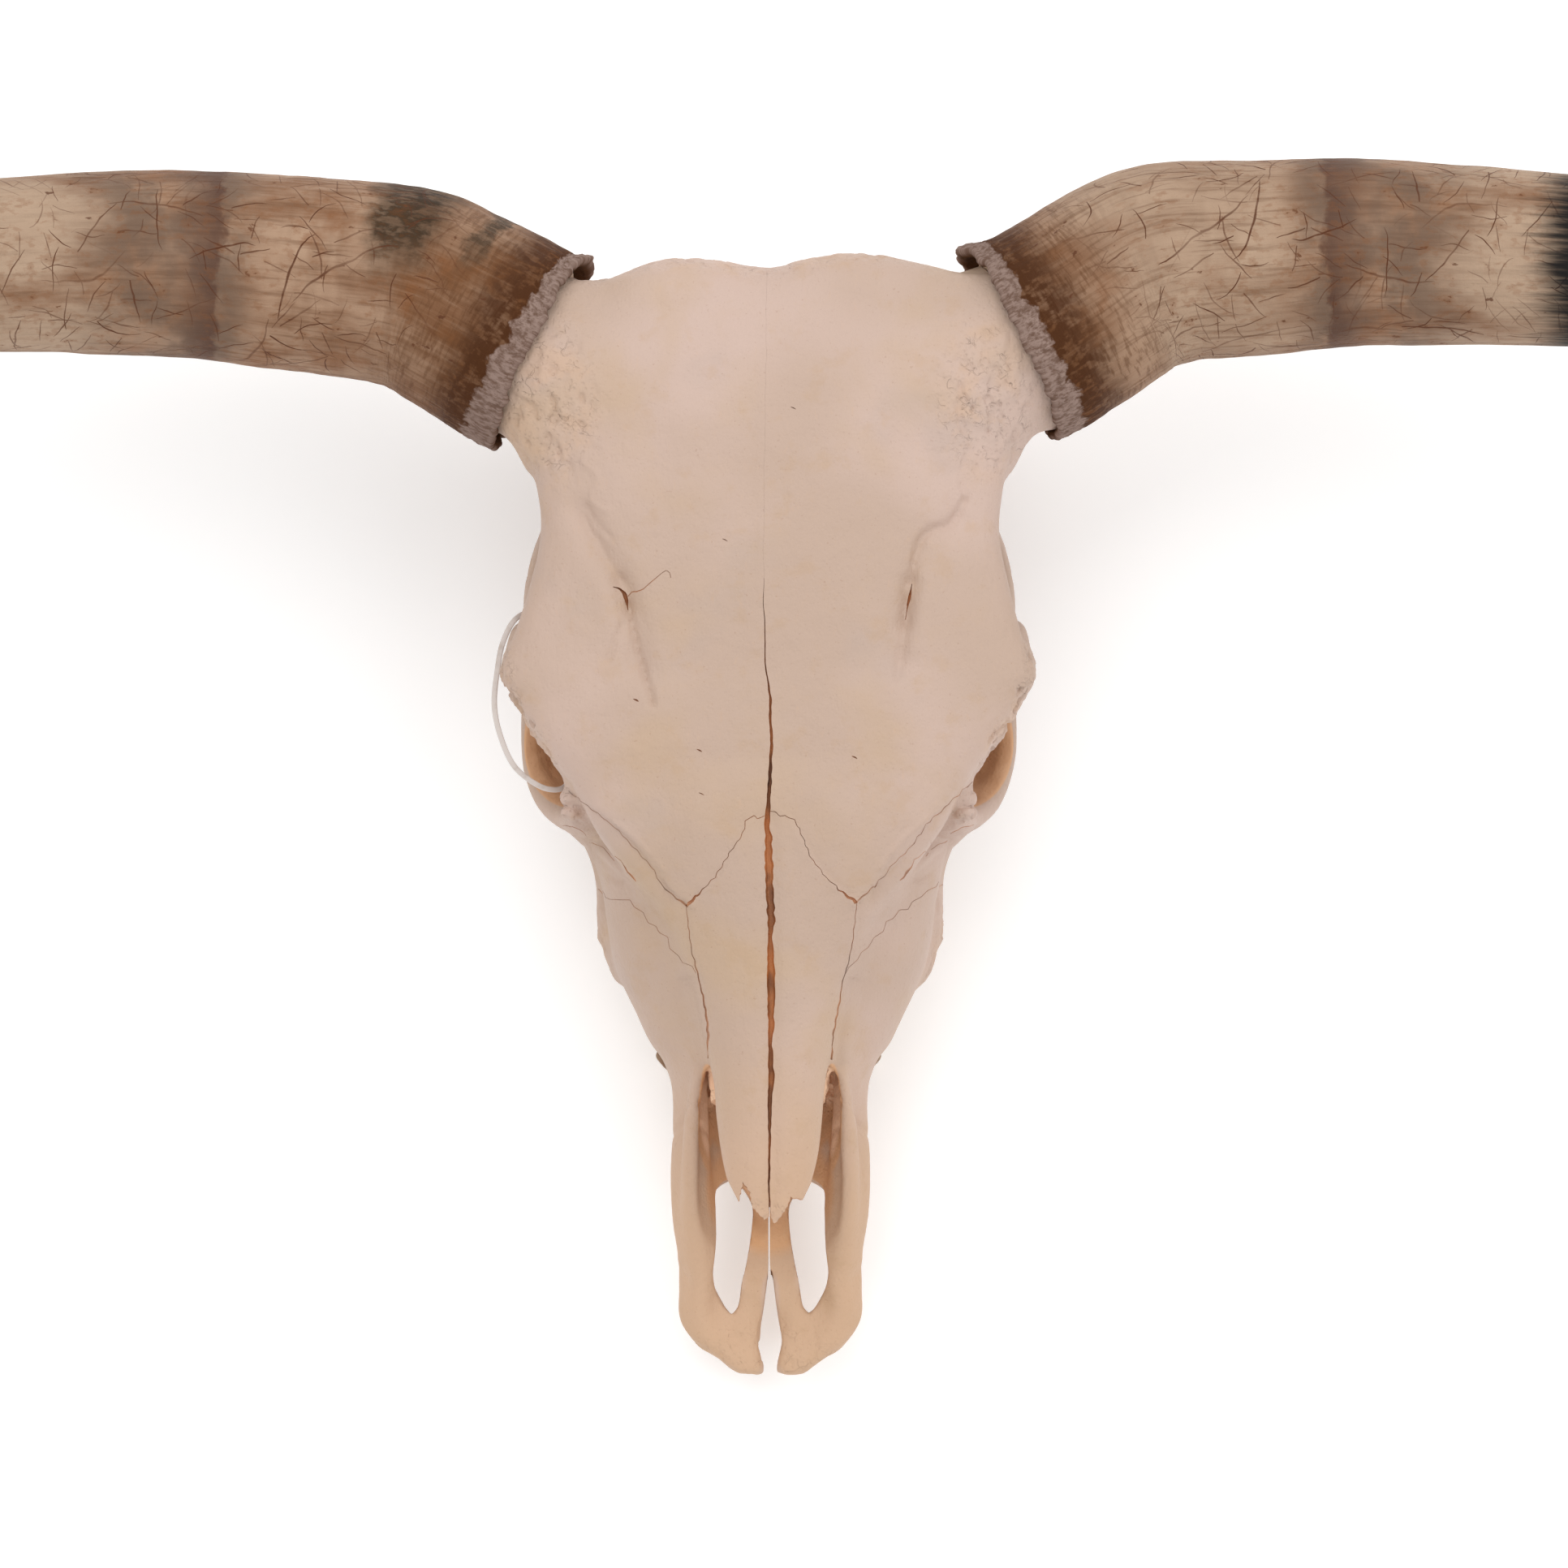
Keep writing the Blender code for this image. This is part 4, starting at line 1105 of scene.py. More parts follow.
RELIEFS = [
    Relief(*row)
    for row in (
        (((88, -122), (82, -128), (75, -131), (71, -140), (67.5, -152), (64.5, -166), (62, -186)), 6.5, -2.4),
        (((-88, -118), (-84, -126), (-77, -138), (-69, -152), (-64, -168), (-60, -190)), 7.0, -2.9),
        (((92, -112), (86, -123), (78, -126), (73, -130), (70, -138), (67.5, -150)), 1.9, -1.7),
        (((66.5, -152), (65.5, -160), (64.5, -170)), 4.0, -2.2),
        (((-70, -150), (-67, -156), (-65.5, -163)), 4.0, -1.8), (((74, -150), (73, -164), (70, -180)), 7.0, 1.4),
        (((-76, -146), (-75, -162), (-70, -178)), 7.0, 1.0),
        (((-88, -120), (-84, -128), (-80, -132), (-76, -141), (-70, -150)), 2.2, -1.1),
        (((-86, -116), (-80, -124), (-74, -130)), 1.4, -0.7),
        (((-66, -160), (-63.5, -172), (-60, -186), (-56, -200), (-54, -208)), 1.7, -1.7),
        (((-68.5, -171), (-71, -178), (-75, -188)), 1.7, -1.4),
        (((66, -158), (64.8, -170), (62.5, -186), (60.5, -196)), 2.0, -1.3),
        (((-87, -95), (-80, -102), (-84, -112), (-76, -118)), 1.4, 0.6),
        (((94, -88), (90, -100), (93, -112)), 1.6, -0.8),
        (((-94, -246), (-80, -259), (-66, -271), (-55, -284), (-46, -297)), 3.0, -1.0),
        (((93, -244), (80, -258), (68, -271), (57, -284), (48, -297)), 3.0, -1.0),
        (((-98, -254), (-88, -262), (-78, -272), (-68, -284), (-58, -294)), 2.6, 1.3),
        (((98, -252), (88, -261), (78, -271), (68, -283), (58, -294)), 2.6, 1.3),
        (((-96, -259), (-86, -267), (-75, -278), (-64, -289)), 1.5, -1.2),
        (((96, -257), (86, -266), (75, -277), (64, -288)), 1.5, -1.2),
        (((0.5, -262), (1, -300), (1.2, -350), (1, -400), (1, -444)), 4.2, -1.7),
        (((-2, -30), (-2.5, -100), (-2, -160)), 3.0, 0.4),
        (((30, -262), (24, -250), (12, -247), (0, -248), (-12, -248), (-24, -251), (-30, -263)), 9.0, 1.2),
        (((-46, -215), (-40, -240), (-36, -270)), 14.0, 1.2), (((46, -215), (40, -240), (38, -270)), 14.0, 1.2),
        (((0, -205), (0, -225)), 30.0, -1.2),
        (((97, -241), (88, -250), (75, -262), (66, -274), (54, -287), (42, -299)), 4.0, -0.8, 1.0),
        (((-95, -244), (-84, -254), (-70, -265), (-59, -277), (-51, -289), (-38.5, -300)), 4.0, 0.8, 1.0),
        (((-11, -264), (-17, -276), (-24, -287), (-38, -300)), 3.0, 0.5, 1.0),
        (((11, -262), (20, -279), (27, -288), (41, -299)), 3.0, -0.5, 1.0),
        (((-38.3, -300.2), (-36.4, -318.8), (-33.6, -329), (-30.4, -343.4), (-28.8, -367)), 2.6, 0.5, 1.0),
        (((41.7, -299.2), (40.1, -316), (35.6, -333), (33.4, -346), (31, -367)), 2.6, -0.5, 1.0),
        (((-98, -262), (-88, -271), (-78, -280), (-70, -285)), 1.6, -1.0),
        (((98, -260), (88, -270), (78, -279), (70, -284)), 1.6, -1.0),
        (((-55, -278), (-50, -290), (-47, -300)), 1.6, -0.8), (((57, -279), (52, -289), (48, -300)), 1.6, -0.7),
        (((-72, -262), (-60, -272), (-50, -284)), 1.3, 0.7), (((74, -260), (62, -271), (52, -283)), 1.3, 0.7),
        (((-38, -338), (-36, -352), (-34, -368)), 3.0, 0.7), (((40, -338), (38, -352), (36, -368)), 3.0, 0.7),
        (((-60, -330), (-52, -348), (-45, -366)), 7.0, -1.2), (((60, -330), (52, -348), (46, -366)), 7.0, -1.2),
    )
]
UNDER_RELIEFS = [
    Relief(*row)
    for row in (
        (((0, -228), (0.7, -262), (-0.5, -300), (0.5, -340), (-0.3, -380), (0, -424)), 1.5, -0.9),
        (((-50, -274), (-34, -263), (-20, -266), (-9, -258), (0, -261), (9, -258), (20, -266), (34, -263),
            (50, -274)), 1.6, -0.9),
        (((-42, -396), (-30, -399), (-22, -407), (-12, -414)), 1.6, -0.8),
        (((42, -396), (30, -399), (22, -407), (12, -414)), 1.6, -0.8),
        (((-25, -60), (-8, -63), (0, -60), (9, -63), (25, -61)), 1.8, -1.1),
        (((-18, -118), (0, -116), (18, -118)), 1.7, -0.9),
        (((-27, -284), (-28, -320), (-25, -360), (-20, -396)), 4.0, -1.1),
        (((27, -284), (28, -320), (25, -360), (20, -396)), 4.0, -1.1),
    )
]
FLANK_RELIEFS = [
    Relief(*row)
    for row in (
        (((-154, 88), (-146, 93), (-137, 91), (-128, 99)), 1.5, -0.9),
        (((-258, 112), (-264, 96), (-275, 88), (-282, 76), (-292, 66)), 1.6, -0.9),
        (((-384, 112), (-390, 98), (-397, 84), (-402, 70), (-412, 56)), 1.6, -0.9),
        (((-24, 118), (-44, 130), (-66, 127), (-88, 136), (-112, 130), (-128, 117)), 1.7, -0.9),
        (((-252, 66), (-270, 60), (-290, 55), (-304, 51)), 4.0, 1.4),
        (((-262, 48), (-290, 42), (-330, 40), (-368, 42)), 6.0, -1.0),
    )
]
REAR_RELIEFS = [
    Relief(*row)
    for row in (
        (((-96, 104), (-78, 134), (-40, 150), (0, 156), (40, 150), (78, 134), (96, 104)), 4.5, 1.8),
        (((-62, 98), (-40, 108), (-16, 112), (0, 110), (16, 112), (40, 108), (62, 98)), 3.5, 1.1),
        (((-58, 62), (-52, 80), (-60, 98)), 1.7, -0.8), (((58, 62), (52, 80), (60, 98)), 1.7, -0.8),
    )
]


@dataclass
class Skull:
    """The bone of the whole skull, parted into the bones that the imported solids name."""

    cranium: Cranium = field(default_factory=Cranium)
    arch: CheekArch = field(default_factory=CheekArch)
    base: SkullBase = field(default_factory=SkullBase)
    snout: Snout = field(default_factory=Snout)
    middle_gap: float = 0.015  # half the least space between a left and a right bone
    gap: float = 0.035  # least space between two bones, which the cracks widen
    tooth_gap: float = 0.25
    ridge_reach: float = 4.0  # how far round a point a ridge is measured
    hollow_reach: float = 10.0  # how far round a point its hollowness is measured
    low: Row = (0, -524, -6)  # the corners of the grid that the bone is worked out on
    high: Row = (158, 16, 206)
    crease: float = 42.0  # degrees between two faces from which an edge looks sharp

    def build(self, cores: Iterable["HornCore"], teeth: Iterable["Teeth"]) -> dict[str, Thing]:
        """Makes the bone, wears it, opens the cracks and parts it.

        Args:
            cores: The horn cores, which take over past the horns' rims.
            teeth: The rows of teeth, for which the jaws are cut out.

        Returns:
            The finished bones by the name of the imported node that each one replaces.
        """
        grid = DistanceGrid(self.low, self.high, STEP)
        for steps in (
            self.cranium.forehead(), self.cranium.brain_box(), self.snout.masses(), self.cranium.hollows(),
            self.arch.steps(), self.base.steps(), self.snout.limbs(), self.snout.hollows(), self.snout.palate(),
            self.snout.insides(),
        ):
            grid.apply(steps)
        self.measure_hollows(grid)
        points, faces = grid.surface()
        mesh = mesh_from("skull", points, faces)
        self.mark(mesh)
        self.weather(mesh)
        log.info("bone: %d faces", len(mesh.polygons))
        skull = new_object("skull", mesh)
        for tool in self.crack_tools(Surface(mesh)):
            cut(skull, tool, "DIFFERENCE")
            drop(tool)
        for tool in [core.stub_cutter() for core in cores] + [row.solid("sockets", self.tooth_gap) for row in teeth]:
            cut(skull, tool, "DIFFERENCE")
            drop(tool)
        bones = self.part(skull)
        for bone in bones.values():
            self.smooth_marks(bone.data)
        return bones

    def measure_hollows(self, grid: DistanceGrid) -> None:
        """Averages the distances round each grid point, near and far, to tell hollows from ridges."""
        values = np.clip(grid.values, -30, 30)
        self.axes = grid.axes
        self.near = box_mean(np.clip(values, -12, 12), max(1, round(self.ridge_reach / STEP)))
        self.far = box_mean(values, max(1, round(self.hollow_reach / STEP)))

    def sample(self, table: Array, points: Array) -> Array:
        """Reads a grid table at points on either side."""
        found = np.zeros(len(points))
        place = np.column_stack([np.abs(points[:, 0]), points[:, 1], points[:, 2]])
        index, share = [], []
        for column, axis in enumerate(self.axes):
            spot = np.clip((place[:, column] - axis[0]) / STEP, 0, len(axis) - 1.001)
            index.append(spot.astype(int))
            share.append(spot - index[-1])
        for corner in np.ndindex(2, 2, 2):
            weight = np.ones(len(points))
            for k in range(3):
                weight *= share[k] if corner[k] else 1 - share[k]
            found += weight * table[tuple(index[k] + corner[k] for k in range(3))]
        return found

    def weather(self, mesh: Mesh) -> None:
        """Moves the surface: soft grooves, unevenness, and pits and knobs where bone is rough."""
        points, normals = corners_of(mesh), normals_of(mesh)
        outer = self.sample(self.far, points) > -14.0
        soft = Lumps(1)(points, 46, 2) * 0.9 + Lumps(2)(points, 15, 2) * 0.35
        rough = sum(patch.share(points) for patch in ROUGH_PATCHES)
        knobs = Lumps(3)(points, 6.5, 3)
        pits = -ramp(Lumps(4)(points * (1, 0.6, 1), 3.4, 1), 0.16, 0.42) * 1.3
        fine = Lumps(6)(points, 3.4, 2) * 0.45
        height = soft * np.where(outer, 1.0, 0.4) + rough * (knobs * 0.75 + pits * 0.8 + fine)
        top = ramp(normals[:, 2], 0.15, 0.6) * ramp(points[:, 2], 84, 100)
        height += top * sum(relief.amount(points) for relief in RELIEFS)
        under = ramp(-normals[:, 2], 0.2, 0.6)
        height += under * sum(relief.amount(points) for relief in UNDER_RELIEFS)
        flank = ramp(np.abs(normals[:, 0]), 0.3, 0.65) * ramp(np.abs(points[:, 0]), 24, 34)
        height += flank * sum(relief.amount(points[:, 1:]) for relief in FLANK_RELIEFS)
        rear = ramp(normals[:, 1], 0.3, 0.6) * ramp(points[:, 1], -40, -25)
        height += rear * sum(relief.amount(points[:, ::2]) for relief in REAR_RELIEFS)
        moved = points + normals * height[:, None]
        moved += self.lopsided(points)
        on_floor = points[:, 2] < 1.0
        moved[on_floor, 2] = np.maximum(moved[on_floor, 2], 0.05)
        move_corners(mesh, moved)

    def lopsided(self, points: Array) -> Array:
        """How far each point is off its mirror place, as no skull is the same on both sides."""
        x, y = points[:, 0], points[:, 1]
        shift = np.zeros_like(points)
        poll = ramp(y, -40, -5) * ramp(-np.abs(x), -120, -20)
        bulge, dent = 1.2 * np.exp(-((x - 42) / 26) ** 2), 2.6 * np.exp(-(x / 15) ** 2)
        shift[:, 1] += poll * (1.6 * np.sin(x / 46.0) + bulge - dent)
        shift[:, 1] -= 5.5 * ramp(y, -40, -5) * np.exp(-(((x + 77) / 18) ** 2))
        shift[:, 0] += 1.0 * np.exp(-((y + 110) / 60) ** 2) * ramp(np.abs(x), 60, 110)
        shift[:, 0] += ramp(-y, 240, 300) * 0.9
        return shift

    def crack_tools(self, surface: Surface) -> Iterable[Thing]:
        """Yields the cutters of the cracks, one after another."""
        table = np.array(MIDLINE)[::-1]

        def gape(share: float) -> float:
            """The opening of the middle suture at a share of its worn stretch."""
            return float(np.interp(MIDDLE_START - MIDDLE_REACH * share, table[:, 1], table[:, 2]))

        def nasal_gape(share: float) -> float:
            """The opening of the suture behind the nasal bone, widest where it meets the jaw."""
            return 0.3 + 1.5 * max(0.0, math.sin(1.5 + 6 * share)) * share**2

        seam = middle_line(MIDDLE_START, MIDDLE_START - MIDDLE_REACH)
        yield crack_along("crack_middle", seam, gape, 2.3, 11).tool(surface)
        for side, word in SIDES:
            seed = 20 + side
            lines = SUTURES[side].zigzags(seed)
            tear = jagged(TEAR, 0.5, 3.0, seed + 13) if side > 0 else TEAR
            for name, points, width, depth, more, stain in (
                ("nasofrontal", lines.nasofrontal, nasal_gape, 1.3, 0, 0.75),
                ("lacrimal", lines.lacrimal, lambda t: 0.26 + 0.7 * max(0.0, 1 - 4.5 * t), 0.6, 7, 0.55),
                ("nasomaxillary", lines.nasomaxillary, lambda t: 0.28 + 1.2 * t**2, 1.2, 9, 0.6),
                ("cheek", lines.cheek, lambda t: 0.22 + 0.1 * t, 0.45, 11, 0.45),
                ("tear", tear, lambda t: 0.24 + 1.2 * max(0.0, 1 - abs(t - 0.9) * 9), 1.0, 13, 0.6),
            ):
                placed = [(side * x, y) for x, y in points]
                yield crack_along(f"crack_{name}_{word}", placed, width, depth, seed + more, stain).tool(surface)
        yield closed_prism("crack_limbs", [(x, y, z) for z in (6.0, 62.0) for x, y in LIMB_GAP], len(LIMB_GAP), 0.3)
        eyebrow = ((-72.5, -153.2), (-69.5, -153.6), (-67.2, -156.0), (-66.0, -160.5), (-65.6, -163.5))
        broken = (
            (-65.6, -157.2), (-63.6, -155.2), (-61.6, -155.6), (-58.5, -154.8), (-55, -151.8), (-52, -149.4),
            (-49.5, -147.3), (-47.4, -146.0), (-45.8, -147.4), (-45.4, -149.6),
        )
        vessel = ((67.6, -151.5), (67.0, -155.0), (66.0, -160.0), (65.0, -165.0), (64.6, -168.0))
        rows = [
            ("eyebrow", eyebrow, lambda t: 0.4 + 1.5 * math.sin(math.pi * t) ** 2, 1.8, 31, 1.0),
            ("break", broken, lambda t: 0.5 - 0.2 * t, 0.7, 32, 0.6),
            ("vessel", vessel, lambda t: 0.3 + 1.0 * math.sin(math.pi * min(1.0, t * 1.2)) ** 2, 1.8, 33, 1.0),
        ]
        for k, (x, y, wide) in enumerate(HOLES):
            hole = ((x - 1.3, y + 0.5), (x, y), (x + 1.2, y - 0.7))
            row = (hole, lambda t, wide=wide: wide * (0.5 + math.sin(math.pi * t)), 1.4, 40 + k, 0.7)
            rows.append((f"hole_{k}", *row))
        for name, *row in rows:
            yield crack_along(f"crack_{name}", *row).tool(surface)

    def regions(self) -> Iterable[tuple[str, Region]]:
        """Yields each bone's node name and its region, in the order they are parted."""

        def both(bone: str, outline: Rows, low: float, high: float) -> Iterable[tuple[str, Region]]:
            """The regions of one bone on both sides, swept along X."""
            for side, word in SIDES:
                yield f"{bone}_{word}", Region(bone, "X", outline, low, high, side)

        zigzags = {side: SUTURES[side].zigzags(20 + side) for side, _ in SIDES}
        for side, word in SIDES:
            lines = zigzags[side]
            seam = [(side * x + self.middle_gap, y) for x, y in middle_line(-256.5, -444.0)]
            nasal = lines.nasofrontal[1:] + lines.nasomaxillary[1:] + lines.nasal_edge[:-1] + seam[::-1]
            yield f"nasal_{word}", Region("nasal", "Z", tuple(nasal), 0, 230, side, (216.8, 0.255))
        outline = ((-384, 112), (-396, 84), (-426, 56), (-456, 20), (-456, -20), (-560, -20), (-560, 112))
        yield from both("premaxilla", outline, self.middle_gap, 70)
        outline = ((-300, 58), (-292, 88), (-262, 112), (-236, 118), (-190, 132), (-148, 134), (-139, 112), (-139, 58))
        yield from both("zygomatic", outline, 69, 150)
        for side, word in SIDES:
            ends = SUTURES[side]
            inner = zigzags[side].lacrimal + [ends.lacrimal[-1]]
            outer = zigzags[side].cheek + list(ends.cheek[-2:])
            yield f"lacrimal_{word}", Region("lacrimal", "Z", tuple(inner + outer[::-1]), 96, 230, side)
        outline = ((-252, -20), (-252, 62), (-266, 96), (-284, 126), (-299, 170), (-480, 170), (-480, -20))
        yield from both("maxilla", outline, self.middle_gap, 120)
        yield "skull_base", Region("base", "X", ((-62, -20), (-62, 84), (-252, 84), (-252, -20)), -38, 38)
        yield "occipital", Region("occipital", "X", ((-58, -20), (-58, 158), (60, 158), (60, -20)), -140, 140)
        for side, word in SIDES:
            seam = [(side * x + self.middle_gap, y) for x, y in middle_line(60, -262)]
            outline = seam + [(side * mid_x(-330) + self.middle_gap, -330), (190, -330), (190, 60)]
            yield f"frontal_{word}", Region("frontal", "Z", tuple(outline), 128, 230, side)

    def part(self, skull: Thing) -> dict[str, Thing]:
        """Parts the skull along its sutures; what is left is the box round the brain."""
        bones = {}
        for name, region in self.regions():
            bone = new_object(f"fine_{name}", skull.data.copy())
            tool, wider = region.tool(0.0), region.tool(self.gap)
            cut(bone, tool, "INTERSECT")
            cut(skull, wider, "DIFFERENCE")
            drop(tool, wider)
            largest_piece(bone.data)
            bones[name] = bone
            log.info("%s: %d faces", name, len(bone.data.polygons))
        largest_piece(skull.data)
        skull.name = "fine_braincase"
        bones["braincase"] = skull
        return bones

    def mark(self, mesh: Mesh) -> None:
        """Stores on the faces what the finish reads: roughness, ridges and hollows near by, and how deep in a hollow a
        point lies far out, which sets painted shade.
        """
        points = corners_of(mesh)
        rough = sum(patch.share(points) for patch in ROUGH_PATCHES)
        # how deep a point lies in a hollow, from the wide mean of distances and the shaded patches: the mask of painted
        # shade in hollows, and past 1 of a painted lighter tone deep inside the nose
        shelter = ramp(-self.sample(self.far, points), 0.5, 9.0)
        for patch in SHADED_PATCHES:
            shelter = np.maximum(shelter, patch.share(points))
        marks = {
            "rough": np.clip(rough, 0, 1),
            "ridge": np.clip(self.sample(self.near, points) / 2.0, -1, 1),
            "shelter": shelter,
        }
        quads = faces_of(mesh).reshape(-1, 4)
        for name, values in marks.items():
            set_attribute(mesh, name, "FACE", values[quads].mean(axis=1))

    def smooth_marks(self, mesh: Mesh) -> None:
        """Turns the marks from faces to points, so that they change smoothly, and shades the bone."""
        corners = faces_of(mesh)
        sizes = read_rows(mesh.polygons, "loop_total", 1, np.int32)[:, 0]
        owner = np.repeat(np.arange(len(sizes)), sizes)
        whole = (read_attribute(mesh, "cut", len(sizes)) < 0.1)[owner].astype(float)
        weight = np.bincount(corners, whole, len(mesh.vertices))
        for name in ("rough", "ridge", "shelter"):
            values = read_attribute(mesh, name, len(sizes))[owner]
            total = np.bincount(corners, values * whole, len(mesh.vertices))
            mesh.attributes.remove(mesh.attributes[name])
            set_attribute(mesh, name, "POINT", total / np.maximum(weight, 1))
        mesh.shade_smooth()
        mesh.set_sharp_from_angle(angle=math.radians(self.crease))


def box_mean(values: Array, reach: int) -> Array:
    """The mean of a grid over a cube that reaches so many points each way."""
    for axis in range(3):
        edge = [(0, 0)] * 3
        edge[axis] = (reach + 1, reach)
        total = np.cumsum(np.pad(values, edge, mode="edge"), axis=axis, dtype=np.float64)
        count = values.shape[axis]
        upper = np.take(total, range(2 * reach + 1, 2 * reach + 1 + count), axis=axis)
        lower = np.take(total, range(0, count), axis=axis)
        values = ((upper - lower) / (2 * reach + 1)).astype(np.float32)
    return values


# ------------------------------------------------------------------ horns, cores, teeth and tie


HORN_BENDS = {-1: ((4.5, 60, 48),), 1: ((8.0, 76, 42), (3.0, 150, 60))}  # rearward bends past the rim


class HornLine:
    """The sampled middle line of one horn, from its rim to its tip."""

    def __init__(self, side: int, count: int = 400) -> None:
        """Samples the line of one side at even distances."""
        line = catmull(HORN_PATH, 40)
        steps = np.r_[0, np.cumsum(np.linalg.norm(np.diff(line, axis=0), axis=1))]
        even = np.linspace(0, steps[-1], count)
        line = np.column_stack([np.interp(even, steps, line[:, k]) for k in range(3)])
        share = 1 - np.linspace(0, 1, count)
        line[:, 0] += HORN_SHIFT[0] * share * side
        line[:, 1] += HORN_SHIFT[1] * share * side
        for height, middle, wide in HORN_BENDS[side]:
            line[:, 1] += height * np.exp(-(((even - middle) / wide) ** 2)) * ramp(even, 2, 24)
        line[:, 0] *= side
        self.points = line
        self.length = float(np.linalg.norm(np.diff(line, axis=0), axis=1).sum())
        self.tangents = unit(np.gradient(line, axis=0))

    def frames(self) -> tuple[Array, Array]:
        """Two directions across the line at each point, turning as little as they can."""
        first = unit(np.cross(self.tangents, (0.0, 0.0, 1.0)))
        return first, np.cross(self.tangents, first)


@dataclass(frozen=True)
class HornSize:
    """The sizes of a horn sheath, in millimetres or as shares of its length."""

    radius: float = 51.0
    taper: float = 0.43
    wall: float = 5.0
    hollow: float = 0.575
    core_gap: float = 8.0
    core: float = 0.56
    stub: float = 4.0  # how far past the rim the skull's own bone ends

    def outer(self, share: Array) -> Array:
        """Radius of the sheath at shares of its length."""
        return self.radius * (1 - self.taper * share) * np.maximum(1 - share**5, 0) ** 0.8

    def inner(self, share: Array) -> Array:
        """Radius of the bone core at shares of the horn's length."""
        return (self.outer(share) - self.core_gap) * np.sqrt(np.maximum(1 - (share / self.core) ** 3, 0))


@dataclass
class HornCore:
    """The porous bone that fills the root of a horn."""

    side: int
    word: str
    size: HornSize = field(default_factory=HornSize)
    around: int = 150
    samples: int = 900  # points along the horn's line, of which the core takes every other one
    drum: Row = (62.0, 70.0)  # radius and length of the drum that cuts the skull off

    def build(self) -> Thing:
        """Sweeps the core along the horn, closes it and makes it rough."""
        line = HornLine(self.side, self.samples)
        first, second = line.frames()
        start = (self.size.stub + 0.3) / line.length
        shares = np.linspace(0, 1, len(line.points))
        keep = np.flatnonzero((shares >= start) & (shares <= self.size.core * 0.9995))[::2]
        radii = self.size.inner(shares[keep])
        ring = circle(self.around, first[keep][:, None], second[keep][:, None])
        flat = (line.points[keep][:, None] + ring * radii[:, None, None]).reshape(-1, 3)
        rough = Lumps(50 + self.side)(flat, 9, 3) * 0.9 - ramp(Lumps(52)(flat, 5, 1), 0.3, 0.6) * 1.1
        edge = np.repeat(ramp(radii, 0, 8), self.around)
        points = (flat + ring.reshape(-1, 3) * (rough * edge)[:, None]).reshape(ring.shape)
        made = bmesh.new()
        rings = wall_of(made, points)
        for row in (0, -1):
            middle = made.verts.new(tuple(to_frame(points[row].mean(0))))
            for corner, following in zip(rings[row], rings[row][1:] + rings[row][:1]):
                made.faces.new((corner, following, middle))
        core = object_from(made, f"fine_horn_core_{self.word}")
        core.data.shade_smooth()
        core.data.set_sharp_from_angle(angle=math.radians(50))
        return core

    def stub_cutter(self) -> Thing:
        """A drum that takes away the skull's bone past the horn's rim."""
        line = HornLine(self.side, self.samples)
        first, second = line.frames()
        index = int(np.argmin(np.abs(np.linspace(0, line.length, self.samples) - self.size.stub)))
        ring = circle(40, first[index], second[index])
        near = line.points[index] + ring * self.drum[0]
        far = near + line.tangents[index] * self.drum[1]
        return closed_prism(f"stub_{self.word}", np.vstack([near, far]), len(ring))


